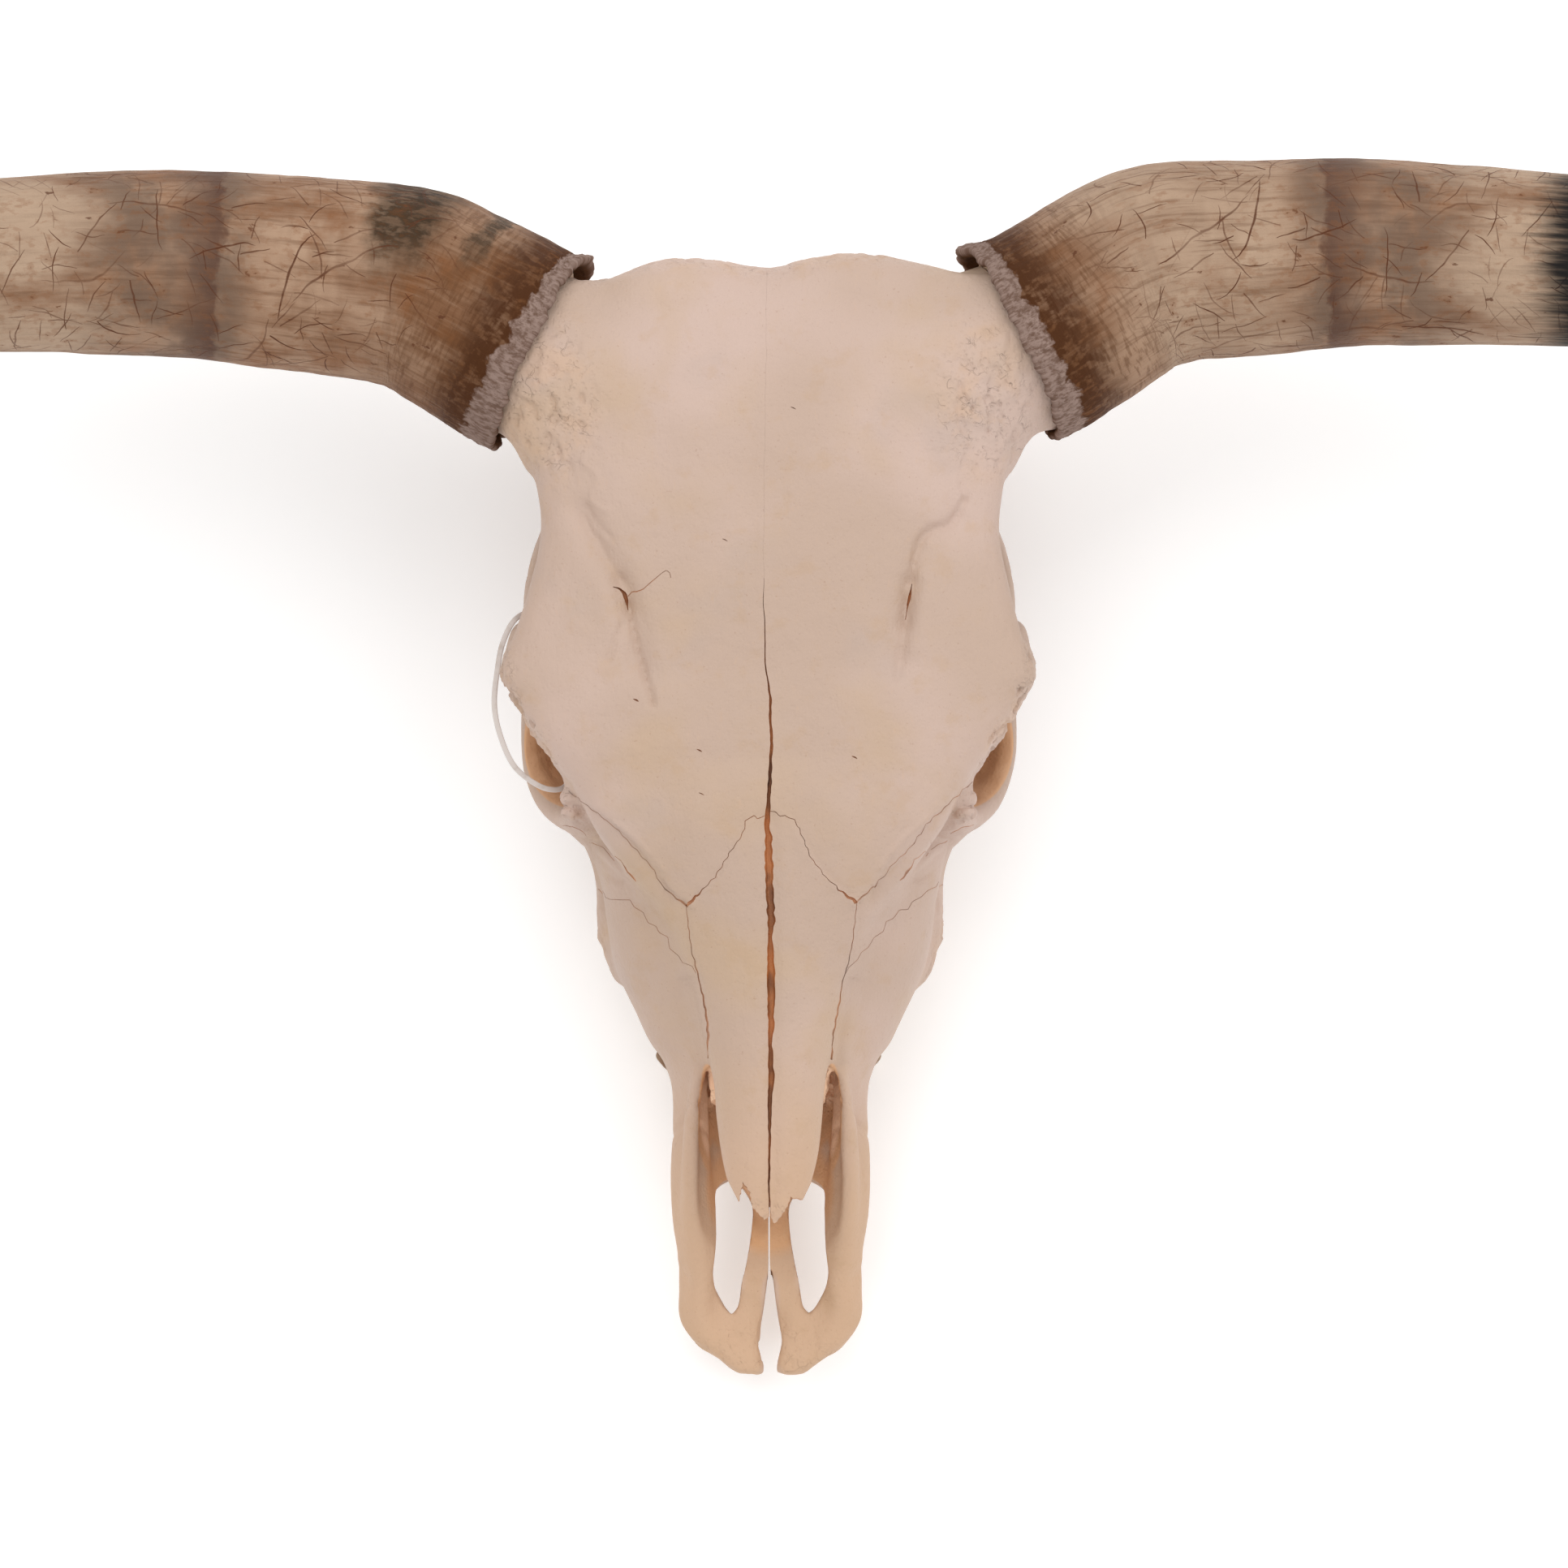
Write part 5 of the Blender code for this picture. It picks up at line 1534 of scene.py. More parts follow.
@dataclass
class Teeth:
    """The six cheek teeth of one side, from the front premolar to the last molar."""

    side: int
    word: str
    lengths: Row = (27, 26, 24, 19, 18, 16)
    rear: float = -236.0  # where the row begins behind the last molar
    between: float = 0.35
    top: float = 26.0  # the level up to which the teeth are made
    spacing: float = 0.7

    def steps(self) -> list[Step]:
        """Every crown with its columns, ribs and enamel hollows."""
        steps = []
        y = self.rear
        for i, length in enumerate(self.lengths):
            middle = y - length / 2
            x = 54 - 0.1 * (i - 1.5) ** 2 - 1.6 * max(0, i - 1)
            half = 12.5 - 0.75 * i
            outer, inner = x + half, x - half
            y -= length + self.between
            molar = i < 3
            quarter = length / 4 if molar else 0
            lift = 0.5 * ((i * 7) % 3) - 0.3
            for way in ((1, -1) if molar else (0,)):
                spot = middle + way * quarter
                radius = (length / 4 if molar else length / 2) - 0.2
                wide = half / radius
                column = ((x, spot, 34), (x - 0.4, spot, 18), (x, spot, 6.5))
                rib = ((outer - 1.5, spot, 34), (outer - 1.7, spot, 18), (outer - 2.0, spot, 1.5))
                steps.append(join(Rod(column, (radius, radius * 0.99, radius * 0.9), (wide * 0.92, 1, 1)), 1.0))
                steps.append(join(Rod(rib, (2.0, 2.0, 1.6)), 2.4))
            if molar:
                ridge = ((outer - 1.6, middle, 34), (outer - 1.8, middle, 16), (outer - 2.2, middle, 1))
                pillar = ((inner + 2.2, middle, 30), (inner + 2.4, middle, 3))
                steps += [join(Rod(ridge, (2.2, 2.1, 1.7)), 1.2), join(Rod(pillar, (1.7, 1.3)), 0.8)]
            for way in ((1, -1) if molar else (0,)):
                spot = middle + way * quarter
                reach = length / (4 if molar else 2) - 2.6
                for part, depth in ((0.12, 3.6), (-0.62, 2.2)):
                    place = x + half * part
                    ends = [(place - 1.2, spot + way * reach, -1 + lift) for way in (-1, 1)]
                    crescent = (ends[0], (place + 1.0, spot, depth - 1.5 + lift), ends[1])
                    steps.append(carve(Rod(crescent, (1.0, 1.6, 1.0)), 0.5))
        return steps

    def grid(self) -> DistanceGrid:
        """The teeth's distances, cut off at the height of the skull's floor and in the jaw."""
        grid = DistanceGrid((34, -384, -4), (76, -228, 40), self.spacing, mirrored=False)
        grid.apply(self.steps())
        x, y, z = grid.axes
        worn = 0.35 + 0.5 * np.sin(x[:, None] * 0.45) * np.cos(y[None, :] * 0.55) ** 2
        floor = worn[:, :, None] - z[None, None, :]
        grid.values = blend_max(grid.values, floor.astype(np.float32), 0.8)
        top = (z - self.top)[None, None, :]
        grid.values = np.maximum(grid.values, np.broadcast_to(top, grid.values.shape)).astype(np.float32)
        return grid

    def solid(self, name: str, grow: float = 0.0) -> Thing:
        """The teeth as one closed object, grown outwards by so much."""
        grid = self.grid()
        grid.values = grid.values - np.float32(grow)
        points, faces = grid.surface()
        if self.side < 0:
            points = points * (-1, 1, 1)
            faces = faces[:, ::-1]
        mesh = mesh_from(name, points, faces)
        set_attribute(mesh, "cut", "FACE", np.full(len(mesh.polygons), 0.6))
        return new_object(name, mesh)

    def build(self) -> Thing:
        """The finished row of teeth."""
        made = self.solid(f"fine_cheek_teeth_{self.word}")
        points = corners_of(made.data)
        points[:, 2] = np.maximum(points[:, 2], 0.1)
        move_corners(made.data, points + normals_of(made.data) * (Lumps(60)(points, 3.2, 2) * 0.12)[:, None])
        set_attribute(made.data, "root", "POINT", ramp(points[:, 2], 5, 17))
        set_attribute(made.data, "chew", "POINT", ramp(-points[:, 2], -2.2, -0.6))
        made.data.shade_smooth()
        return made


# ------------------------------------------------------------------ node trees


def operator(operation: str, flipped: bool = False) -> Callable[["Wire", "Value"], "Wire"]:
    """A method that makes the node of an operation, with its two values swapped if asked."""

    def method(self: "Wire", other: "Value") -> "Wire":
        """Makes the node."""
        return self.reckon(operation, other, self) if flipped else self.reckon(operation, self, other)

    return method


class Wire:
    """An output of a node that can be reckoned with: sums, products, powers and steps."""

    def __init__(self, kit: "Kit", socket: bpy.types.NodeSocket) -> None:
        self.kit, self.socket = kit, socket

    def reckon(self, operation: str, first: "Value", second: "Value" = 0.0) -> "Wire":
        """Makes the Math or Vector Math node of an operation."""
        if not (has_three(first) or has_three(second)):
            return self.kit.node("ShaderNodeMath", {0: first, 1: second}, operation=operation)["Value"]
        if operation == "MULTIPLY" and not has_three(second):
            return self.kit.node("ShaderNodeVectorMath", {0: first, "Scale": second}, operation="SCALE")["Vector"]
        return self.kit.node("ShaderNodeVectorMath", {0: first, 1: second}, operation=operation)["Vector"]

    __add__ = __radd__ = operator("ADD")
    __sub__, __rsub__ = operator("SUBTRACT"), operator("SUBTRACT", True)
    __mul__ = __rmul__ = operator("MULTIPLY")
    __truediv__, __rtruediv__ = operator("DIVIDE"), operator("DIVIDE", True)
    __pow__ = operator("POWER")

    def call(self, operation: str, other: "Value" = 0.0) -> "Wire":
        """Any other operation of the Math node, such as SINE or MAXIMUM."""
        return self.reckon(operation, self, other)

    def step(self, low: float, high: float) -> "Wire":
        """A smooth step from 0 at low to 1 at high."""
        values = {"Value": self, "From Min": min(low, high), "From Max": max(low, high)}
        if low >= high:
            values |= {"To Min": 1.0, "To Max": 0.0}
        return self.kit.node("ShaderNodeMapRange", values, interpolation_type="SMOOTHSTEP")["Result"]


Value = Wire | float | tuple


def has_three(value: Value) -> bool:
    """Whether a value or the socket behind it is made of three numbers."""
    return value.socket.type == "VECTOR" if isinstance(value, Wire) else isinstance(value, tuple)


class NodeBox:
    """One node, whose outputs are read by name or number as wires."""

    def __init__(self, kit: "Kit", node: bpy.types.Node) -> None:
        """Keeps the node."""
        self.kit, self.node = kit, node

    def __getitem__(self, key: str | int) -> Wire:
        """An output by number, identifier or name."""
        return Wire(self.kit, find_socket(self.node.outputs, key))


def find_socket(sockets: Iterable[bpy.types.NodeSocket], key: str | int) -> bpy.types.NodeSocket:
    """Finds a socket by number, by identifier or by name among those in use.

    Args:
        sockets: The node's inputs or outputs.
        key: The number, identifier or name.

    Returns:
        The socket.
    """
    if isinstance(key, int):
        return sockets[key]
    for socket in sockets:
        if socket.identifier == key:
            return socket
    return next(socket for socket in sockets if socket.name == key and socket.enabled)


class Kit:
    """Makes the nodes of one tree."""

    def __init__(self, tree: bpy.types.NodeTree) -> None:
        """Keeps the tree."""
        self.tree = tree

    def node(self, kind: str, inputs: Optional[dict] = None, **settings: object) -> NodeBox:
        """Makes a node, first its settings and then its values and links.

        Args:
            kind: The node's type.
            inputs: Values or wires by the input's number, identifier or name.
            settings: The node's properties.

        Returns:
            The node.
        """
        made = self.tree.nodes.new(kind)
        for name, value in settings.items():
            setattr(made, name, value)
        for key, value in (inputs or {}).items():
            socket = find_socket(made.inputs, key)
            if isinstance(value, Wire):
                self.tree.links.new(value.socket, socket)
            elif isinstance(value, tuple) and len(value) == 3 and socket.type == "RGBA":
                socket.default_value = (*value, 1.0)
            else:
                socket.default_value = value
        return NodeBox(self, made)

    def noise(
        self, place: Wire, scale: float, detail: float = 2.0, roughness: float = 0.5, distortion: float = 0.0
    ) -> Wire:
        """Noise from 0 to 1 at a place, its scale in bumps per metre."""
        values = {"Vector": place, "Scale": scale, "Detail": detail, "Roughness": roughness, "Distortion": distortion}
        return self.node("ShaderNodeTexNoise", values)[0]

    def shaken(self, place: Wire, scale: float, reach: float) -> Wire:
        """A place that noise has moved about."""
        moved = self.node("ShaderNodeTexNoise", {"Vector": place, "Scale": scale, "Detail": 2.0})["Color"]
        return place + (moved - (0.5, 0.5, 0.5)) * reach

    def parts(self, place: Wire) -> NodeBox:
        """The three numbers of a place, as X, Y and Z."""
        return self.node("ShaderNodeSeparateXYZ", {0: place})

    def vector(self, x: Value, y: Value, z: Value) -> Wire:
        """Three numbers as one vector."""
        return self.node("ShaderNodeCombineXYZ", {"X": x, "Y": y, "Z": z})["Vector"]

    def layers(self, colour: Value, *rows: tuple[Value, Value]) -> Wire:
        """A colour with more colours laid over it, each a row of its share and its colour."""
        for share, tint in rows:
            colour = self.mix(share, colour, tint)
        return colour

    def mix(self, share: Value, first: Value, second: Value) -> Wire:
        """A colour between two colours."""
        values = {"Factor_Float": share, "A_Color": first, "B_Color": second}
        return self.node("ShaderNodeMix", values, data_type="RGBA")["Result_Color"]


def tone(red: int, green: int, blue: int) -> tuple[float, float, float]:
    """A colour given as it shows on a screen, 0..255, in linear light."""
    shares = (value / 255 for value in (red, green, blue))
    return tuple(v / 12.92 if v <= 0.04045 else ((v + 0.055) / 1.055) ** 2.4 for v in shares)


def new_tree(name: str, sockets: Sequence[tuple[str, str]]) -> tuple[Kit, NodeBox]:
    """Starts a Geometry Nodes tree.

    Args:
        name: The tree's name.
        sockets: Name and socket type of each input after the geometry.
    """
    tree = bpy.data.node_groups.new(name, "GeometryNodeTree")
    tree.interface.new_socket("Geometry", in_out="INPUT", socket_type="NodeSocketGeometry")
    for label, kind in sockets:
        tree.interface.new_socket(label, in_out="INPUT", socket_type=kind)
    tree.interface.new_socket("Geometry", in_out="OUTPUT", socket_type="NodeSocketGeometry")
    kit = Kit(tree)
    return kit, kit.node("NodeGroupInput")


def end_tree(kit: Kit, shape: Wire, finish: Wire) -> bpy.types.NodeTree:
    """Ends a Geometry Nodes tree with smooth shading, real geometry and the material.

    Args:
        shape: The finished geometry.
        finish: The tree's material input.

    Returns:
        The tree.
    """
    shape = kit.node("GeometryNodeSetShadeSmooth", {"Geometry": shape})["Geometry"]
    shape = kit.node("GeometryNodeRealizeInstances", {"Geometry": shape})["Geometry"]
    shape = kit.node("GeometryNodeSetMaterial", {"Geometry": shape, "Material": finish})["Geometry"]
    kit.node("NodeGroupOutput", {0: shape})
    return kit.tree


def run_tree(made: Thing, tree: bpy.types.NodeTree, values: dict, name: str) -> Thing:
    """Runs a tree on an object and keeps the result as a plain mesh.

    Args:
        made: The object whose geometry goes in; it is dropped.
        tree: The Geometry Nodes tree.
        values: The tree's inputs by name.
        name: The name of the new piece.

    Returns:
        The finished object.
    """
    modifier = made.modifiers.new("nodes", "NODES")
    modifier.node_group = tree
    for item in tree.interface.items_tree:
        if item.in_out == "INPUT" and item.name in values:
            modifier[item.identifier] = values[item.name]
    graph = bpy.context.evaluated_depsgraph_get()
    mesh = bpy.data.meshes.new_from_object(made.evaluated_get(graph), preserve_all_data_layers=True, depsgraph=graph)
    made.modifiers.clear()
    drop(made)
    mesh.name = name
    return new_object(name, mesh)


@dataclass
class HornSheath:
    """The hollow horn itself, swept along its line by Geometry Nodes."""

    side: int
    word: str
    size: HornSize = field(default_factory=HornSize)
    rings: int = 420
    around: int = 230
    outer_part: float = 0.6  # share of the grid's rows on the outer wall
    rim_part: float = 0.03
    ragged: float = 0.011  # how far the worn edge wanders along the horn
    ridges: float = 0.0024
    streaks: float = 0.001

    def tree(self) -> bpy.types.NodeTree:
        """The nodes: a grid wrapped round the curve, out along the outer wall and back inside."""
        labels = ("Radius", "Taper", "Wall", "Hollow", "Length", "Ragged", "Ridges", "Streaks", "Seed")
        sockets = [(label, "NodeSocketFloat") for label in labels] + [("Finish", "NodeSocketMaterial")]
        kit, inputs = new_tree("horn_sheath", sockets)
        radius, taper, wall, hollow, length, ragged, ridges, streaks, seed = (inputs[label] for label in labels)
        count = {"Vertices X": self.rings, "Vertices Y": self.around + 1}
        grid = kit.node("GeometryNodeMeshGrid", {"Size X": 1.0, "Size Y": 1.0, **count})
        place = kit.parts(kit.node("GeometryNodeInputPosition")["Position"])
        u, turn = place["X"] + 0.5, (place["Y"] + 0.5) * (2 * math.pi)
        out_share = (1 - u / self.outer_part).call("MAXIMUM", 0.0) ** 1.5
        rim = ((u - self.outer_part) / self.rim_part).call("MAXIMUM", 0.0).call("MINIMUM", 1.0)
        start = self.outer_part + self.rim_part
        in_share = ((u - start) / (1 - start)).call("MAXIMUM", 0.0) ** 1.5 * hollow
        share = out_share + in_share
        outside = radius * (1 - taper * share) * ((1 - share**5.0).call("MAXIMUM", 0.0) ** 0.8)
        inside = (outside - wall) * ((1 - (in_share / hollow) ** 3.0).call("MAXIMUM", 0.0) ** 0.5)
        round_over = (1 - (rim * math.pi).call("COSINE")) * 0.5
        wide = outside + (inside - outside) * round_over
        cosine, sine = turn.call("COSINE"), turn.call("SINE")
        along = share * length
        straight = kit.vector(cosine * outside, sine * outside, along)
        shifted = straight + kit.vector(seed, seed * 1.7, seed * 0.6)
        near_rim = along.step(0.024, 0.0)
        wander = kit.noise(shifted * (1.0, 1.0, 0.3), 60.0, 4.0, 0.62) - 0.22
        wander = wander + (kit.noise(shifted * (1.0, 1.0, 0.25), 240.0, 2.0) - 0.5) * 0.32
        flakes = (kit.noise(shifted, 260.0, 3.0, 0.65) - 0.5) * along.step(0.016, 0.01) * 0.0026
        flakes = flakes - along.step(0.0125, 0.011) * 0.0005
        rings = (kit.noise(shifted * (0.1, 0.1, 1.0), 52.0, 2.0) - 0.5) * ridges * along.step(0.34, 0.02)
        lines = (kit.noise(shifted * (1.0, 1.0, 0.045), 230.0, 2.0) - 0.5) * streaks
        lumps = (kit.noise(shifted, 17.0, 2.0) - 0.5) * 0.0022 * share.step(0.99, 0.6)
        height = (rings + lines + lumps) * (1 - round_over) * share.step(1.0, 0.97) + flakes * (1 - round_over * 0.8)
        sampled = kit.node("GeometryNodeSampleCurve", {"Curves": inputs["Geometry"], "Factor": share}, mode="FACTOR")
        tangent, normal = sampled["Tangent"], sampled["Normal"]
        across = tangent.reckon("CROSS_PRODUCT", tangent, normal)
        shift = wander * ragged * near_rim - (rim * math.pi).call("SINE") * wall * 0.35
        outward = normal * cosine + across * sine
        rearward = kit.parts(outward)["Y"]
        lip = rearward.step(0.72, 0.98) * along.step(0.016, 0.0) * (1 - round_over * 0.4)
        spot = sampled["Position"] + outward * (wide + height + lip * 0.0045) + tangent * (shift - lip * 0.007)
        shape = grid["Mesh"]
        flat = kit.vector((turn - math.pi) * outside, along, 0.0)
        marks = (("straight", "FLOAT_VECTOR", straight), ("flat", "FLOAT_VECTOR", flat),
            ("along", "FLOAT", along), ("inner", "FLOAT", round_over))
        for label, kind, value in marks:
            stored = {"Geometry": shape, "Name": label, "Value": value}
            stored = kit.node("GeometryNodeStoreNamedAttribute", stored, data_type=kind, domain="POINT")
            shape = stored["Geometry"]
        shape = kit.node("GeometryNodeSetPosition", {"Geometry": shape, "Position": spot})["Geometry"]
        shape = kit.node("GeometryNodeMergeByDistance", {"Geometry": shape, "Distance": 0.00002})["Geometry"]
        return end_tree(kit, shape, inputs["Finish"])

    def build(self, finish: Material) -> Thing:
        """Sweeps the sheath and turns its faces outwards."""
        line = HornLine(self.side)
        size = self.size
        values = {
            "Radius": size.radius * MM, "Taper": size.taper, "Wall": size.wall * MM, "Hollow": size.hollow,
            "Length": line.length * MM, "Ragged": self.ragged, "Ridges": self.ridges, "Streaks": self.streaks,
            "Seed": 3.1 + self.side * 1.9, "Finish": finish,
        }
        path = curve_object(f"line_{self.word}", line.points)
        made = run_tree(path, self.tree(), values, f"fine_horn_sheath_{self.word}")
        close_and_turn(made.data)
        return made


def close_and_turn(mesh: Mesh) -> None:
    """Drops flat faces left at poles and turns all faces outwards."""
    made = bmesh.new()
    made.from_mesh(mesh)
    bmesh.ops.dissolve_degenerate(made, dist=1e-7, edges=made.edges)
    if made.calc_volume(signed=True) < 0:
        bmesh.ops.reverse_faces(made, faces=made.faces)
    made.to_mesh(mesh)
    made.free()


@dataclass
class OrbitTie:
    """The thin nylon strap that is tied through the left eye socket."""

    path: Rows = (
        (-120.5, -162.5, 144.5), (-126, -173.5, 145), (-128.4, -186.5, 146), (-129.8, -201.8, 146),
        (-128, -214.5, 145), (-122.5, -229, 142), (-115.5, -236.8, 138), (-104.5, -242.3, 134),
        (-95.5, -238.5, 128), (-92, -218, 122), (-91.5, -192, 121), (-91.5, -171, 121), (-100, -154.5, 125),
        (-112.5, -156.5, 134),
    )
    width: float = 2.6
    thickness: float = 1.1

    def tree(self) -> bpy.types.NodeTree:
        """The nodes: a rounded flat profile run along the closed path."""
        sockets = (("Width", "NodeSocketFloat"), ("Thickness", "NodeSocketFloat"), ("Finish", "NodeSocketMaterial"))
        kit, inputs = new_tree("flat_tie", sockets)
        width, thickness = inputs["Width"], inputs["Thickness"]
        path = kit.node("GeometryNodeResampleCurve", {"Curve": inputs["Geometry"], "Count": 420})["Curve"]
        path = kit.node("GeometryNodeSetCurveNormal", {"Curve": path}, mode="Z_UP")["Curve"]
        profile = kit.node("GeometryNodeCurvePrimitiveQuadrilateral", {"Width": width, "Height": thickness})["Curve"]
        rounded = {"Curve": profile, "Count": 3, "Radius": thickness * 0.4}
        profile = kit.node("GeometryNodeFilletCurve", rounded, mode="POLY")["Curve"]
        swept = {"Curve": path, "Profile Curve": profile, "Fill Caps": True}
        shape = kit.node("GeometryNodeCurveToMesh", swept)["Mesh"]
        return end_tree(kit, shape, inputs["Finish"])

    def build(self, finish: Material) -> Thing:
        """Runs the strap along its path."""
        line = curve_object("tie_path", catmull(self.path, 12, cyclic=True), cyclic=True)
        values = {"Width": self.width * MM, "Thickness": self.thickness * MM, "Finish": finish}
        made = run_tree(line, self.tree(), values, "fine_orbit_tie")
        close_and_turn(made.data)
        return made


# ------------------------------------------------------------------ finishes


def start_finish(name: str) -> tuple[Material, Kit, Wire]:
    """A new material with an empty tree, its kit and the object coordinates."""
    material = bpy.data.materials.new(name)
    material.use_nodes = True
    material.node_tree.nodes.clear()
    kit = Kit(material.node_tree)
    return material, kit, kit.node("ShaderNodeTexCoord")["Object"]


def end_finish(kit: Kit, colour: Value, roughness: Value, bumps: Sequence[tuple[Wire, float]], fixed: dict) -> None:
    """Joins colour, roughness and bumps to one shader.

    Args:
        colour: The base colour.
        roughness: The roughness.
        bumps: Heights from 0 to 1 with their depth in metres, coarse first.
        fixed: Numbers set on the shader's own sockets.
    """
    values = {"Base Color": colour, "Roughness": roughness, **fixed}
    normal = None
    for height, depth in bumps:
        inputs = {"Height": height, "Distance": depth, "Strength": 1.0}
        if normal:
            inputs["Normal"] = normal
        normal = kit.node("ShaderNodeBump", inputs)["Normal"]
    if normal:
        values["Normal"] = normal
    shader = kit.node("ShaderNodeBsdfPrincipled", values)
    kit.node("ShaderNodeOutputMaterial", {"Surface": shader["BSDF"]})


def attribute(kit: Kit, name: str, output: str = "Fac") -> Wire:
    """A number stored on the mesh, or the three numbers of its "Vector" output."""
    return kit.node("ShaderNodeAttribute", attribute_name=name)[output]


@dataclass(frozen=True)
class BoneFinish:
    """Old, dry, washed bone: pale pink and cream, warmer at the nose, brown in cracks, with painted shade in hollows
    and a painted lighter tone deep inside the nose.
    """

    name: str = "bone"
    light: Row = tone(195, 170, 157)
    middle: Row = tone(184, 159, 142)
    cream: Row = tone(187, 159, 131)
    warm: Row = tone(200, 164, 133)
    grey: Row = tone(174, 155, 144)
    ochre: Row = tone(180, 146, 108)
    # painted shade: the orange-tan laid into hollows
    shade: Row = tone(214, 160, 112)
    # painted light: a pale tone laid deep inside the nose, standing in for the light that reaches there
    inner: Row = tone(236, 196, 164)
    # stain of cracks and specks; in the deepest hollows it is laid partly as stain and partly as painted shade
    stain: Row = tone(130, 78, 44)
    opened: Row = tone(184, 116, 66)
    dark: Row = tone(74, 42, 24)
    roughness: float = 0.62

    def build(self) -> Material:
        """Makes the material."""
        material, kit, place = start_finish(self.name)
        spot = kit.parts(place)
        broad = kit.noise(place, 8.0, 2.0, 0.5)
        clouds = kit.noise(place, 13.0, 3.0, 0.5, 0.3)
        patches = kit.noise(place, 32.0, 4.0, 0.6, 0.4)
        grain = kit.noise(place * (1.0, 0.35, 1.0), 420.0, 3.0, 0.6)
        specks = kit.noise(place, 700.0, 2.0, 0.5)
        cut_face, rough = attribute(kit, "cut"), attribute(kit, "rough")
        ridge, shelter = attribute(kit, "ridge"), attribute(kit, "shelter")
        colour = kit.mix(broad.step(0.36, 0.64), self.middle, self.light)
        colour = kit.layers(
            colour,
            (clouds.step(0.48, 0.7) * 0.6, self.cream),
            (kit.noise(place, 17.0, 3.0).step(0.54, 0.72) * 0.35, self.grey),
            (patches.step(0.52, 0.78) * 0.25, self.cream), (spot["Y"].step(-0.1, -0.24) * 0.85, self.warm),
            (spot["Z"].step(0.09, 0.02) * 0.25, self.warm),
            (spot["Z"].step(0.048, 0.022) * patches.step(0.42, 0.62) * 0.45, self.ochre),
            (kit.noise(place, 62.0, 4.0, 0.6).step(0.54, 0.7) * 0.2, self.ochre),
            ((ridge * -1.0).step(0.35, 1.0) * 0.35, self.warm), (ridge.step(0.3, 0.95) * 0.45, self.light),
            (rough * patches.step(0.45, 0.62) * 0.35, self.warm),
            # painted shade: orange-tan in hollows
            (shelter.step(0.18, 0.6) * (0.45 + patches * 0.5), self.shade),
            # a patchy dark brown in the deepest hollows, partly stain and partly painted shade
            (shelter.step(0.6, 1.0) * patches.step(0.4, 0.7) * 0.35, self.stain),
            # painted light: a pale tone deep inside the nose, where the hollow mask passes 1
            (shelter.step(1.0, 1.8) * 0.85, self.inner), (grain.step(0.58, 0.8) * 0.18, self.warm),
            (specks.step(0.66, 0.78) * 0.22, self.stain),
        )
        patchy = kit.noise(place * (1.0, 0.5, 1.0), 70.0, 3.0, 0.6)
        crack = kit.mix(patchy.step(0.4, 0.62), self.opened, self.stain)
        crack = kit.mix(patchy.step(0.6, 0.68) * 0.8, crack, self.dark)
        colour = kit.mix(cut_face * (0.8 + clouds * 0.3), colour, crack)
        pores = kit.node("ShaderNodeTexVoronoi", {"Vector": place, "Scale": 430.0}, feature="F1")["Distance"]
        fibres = kit.noise(place * (1.0, 0.16, 1.0), 520.0, 4.0, 0.62)
        net = {"Vector": kit.shaken(place, 90.0, 0.012), "Scale": 150.0}
        crackle = kit.node("ShaderNodeTexVoronoi", net, feature="DISTANCE_TO_EDGE")["Distance"]
        crackle = crackle.step(0.06, 0.01) * rough.step(0.2, 0.7) * kit.noise(place, 130.0, 2.0).step(0.52, 0.62)
        bumps = (
            (kit.noise(place, 95.0, 4.0, 0.55), 0.001), (fibres, 0.00025),
            (pores.step(0.05, 0.45) * (0.3 + rough * 0.7), 0.0003), (1 - crackle, 0.00025),
        )
        end_finish(kit, colour, self.roughness - grain * 0.12 + shelter * 0.08, bumps, {"Specular IOR Level": 0.35})
        return material


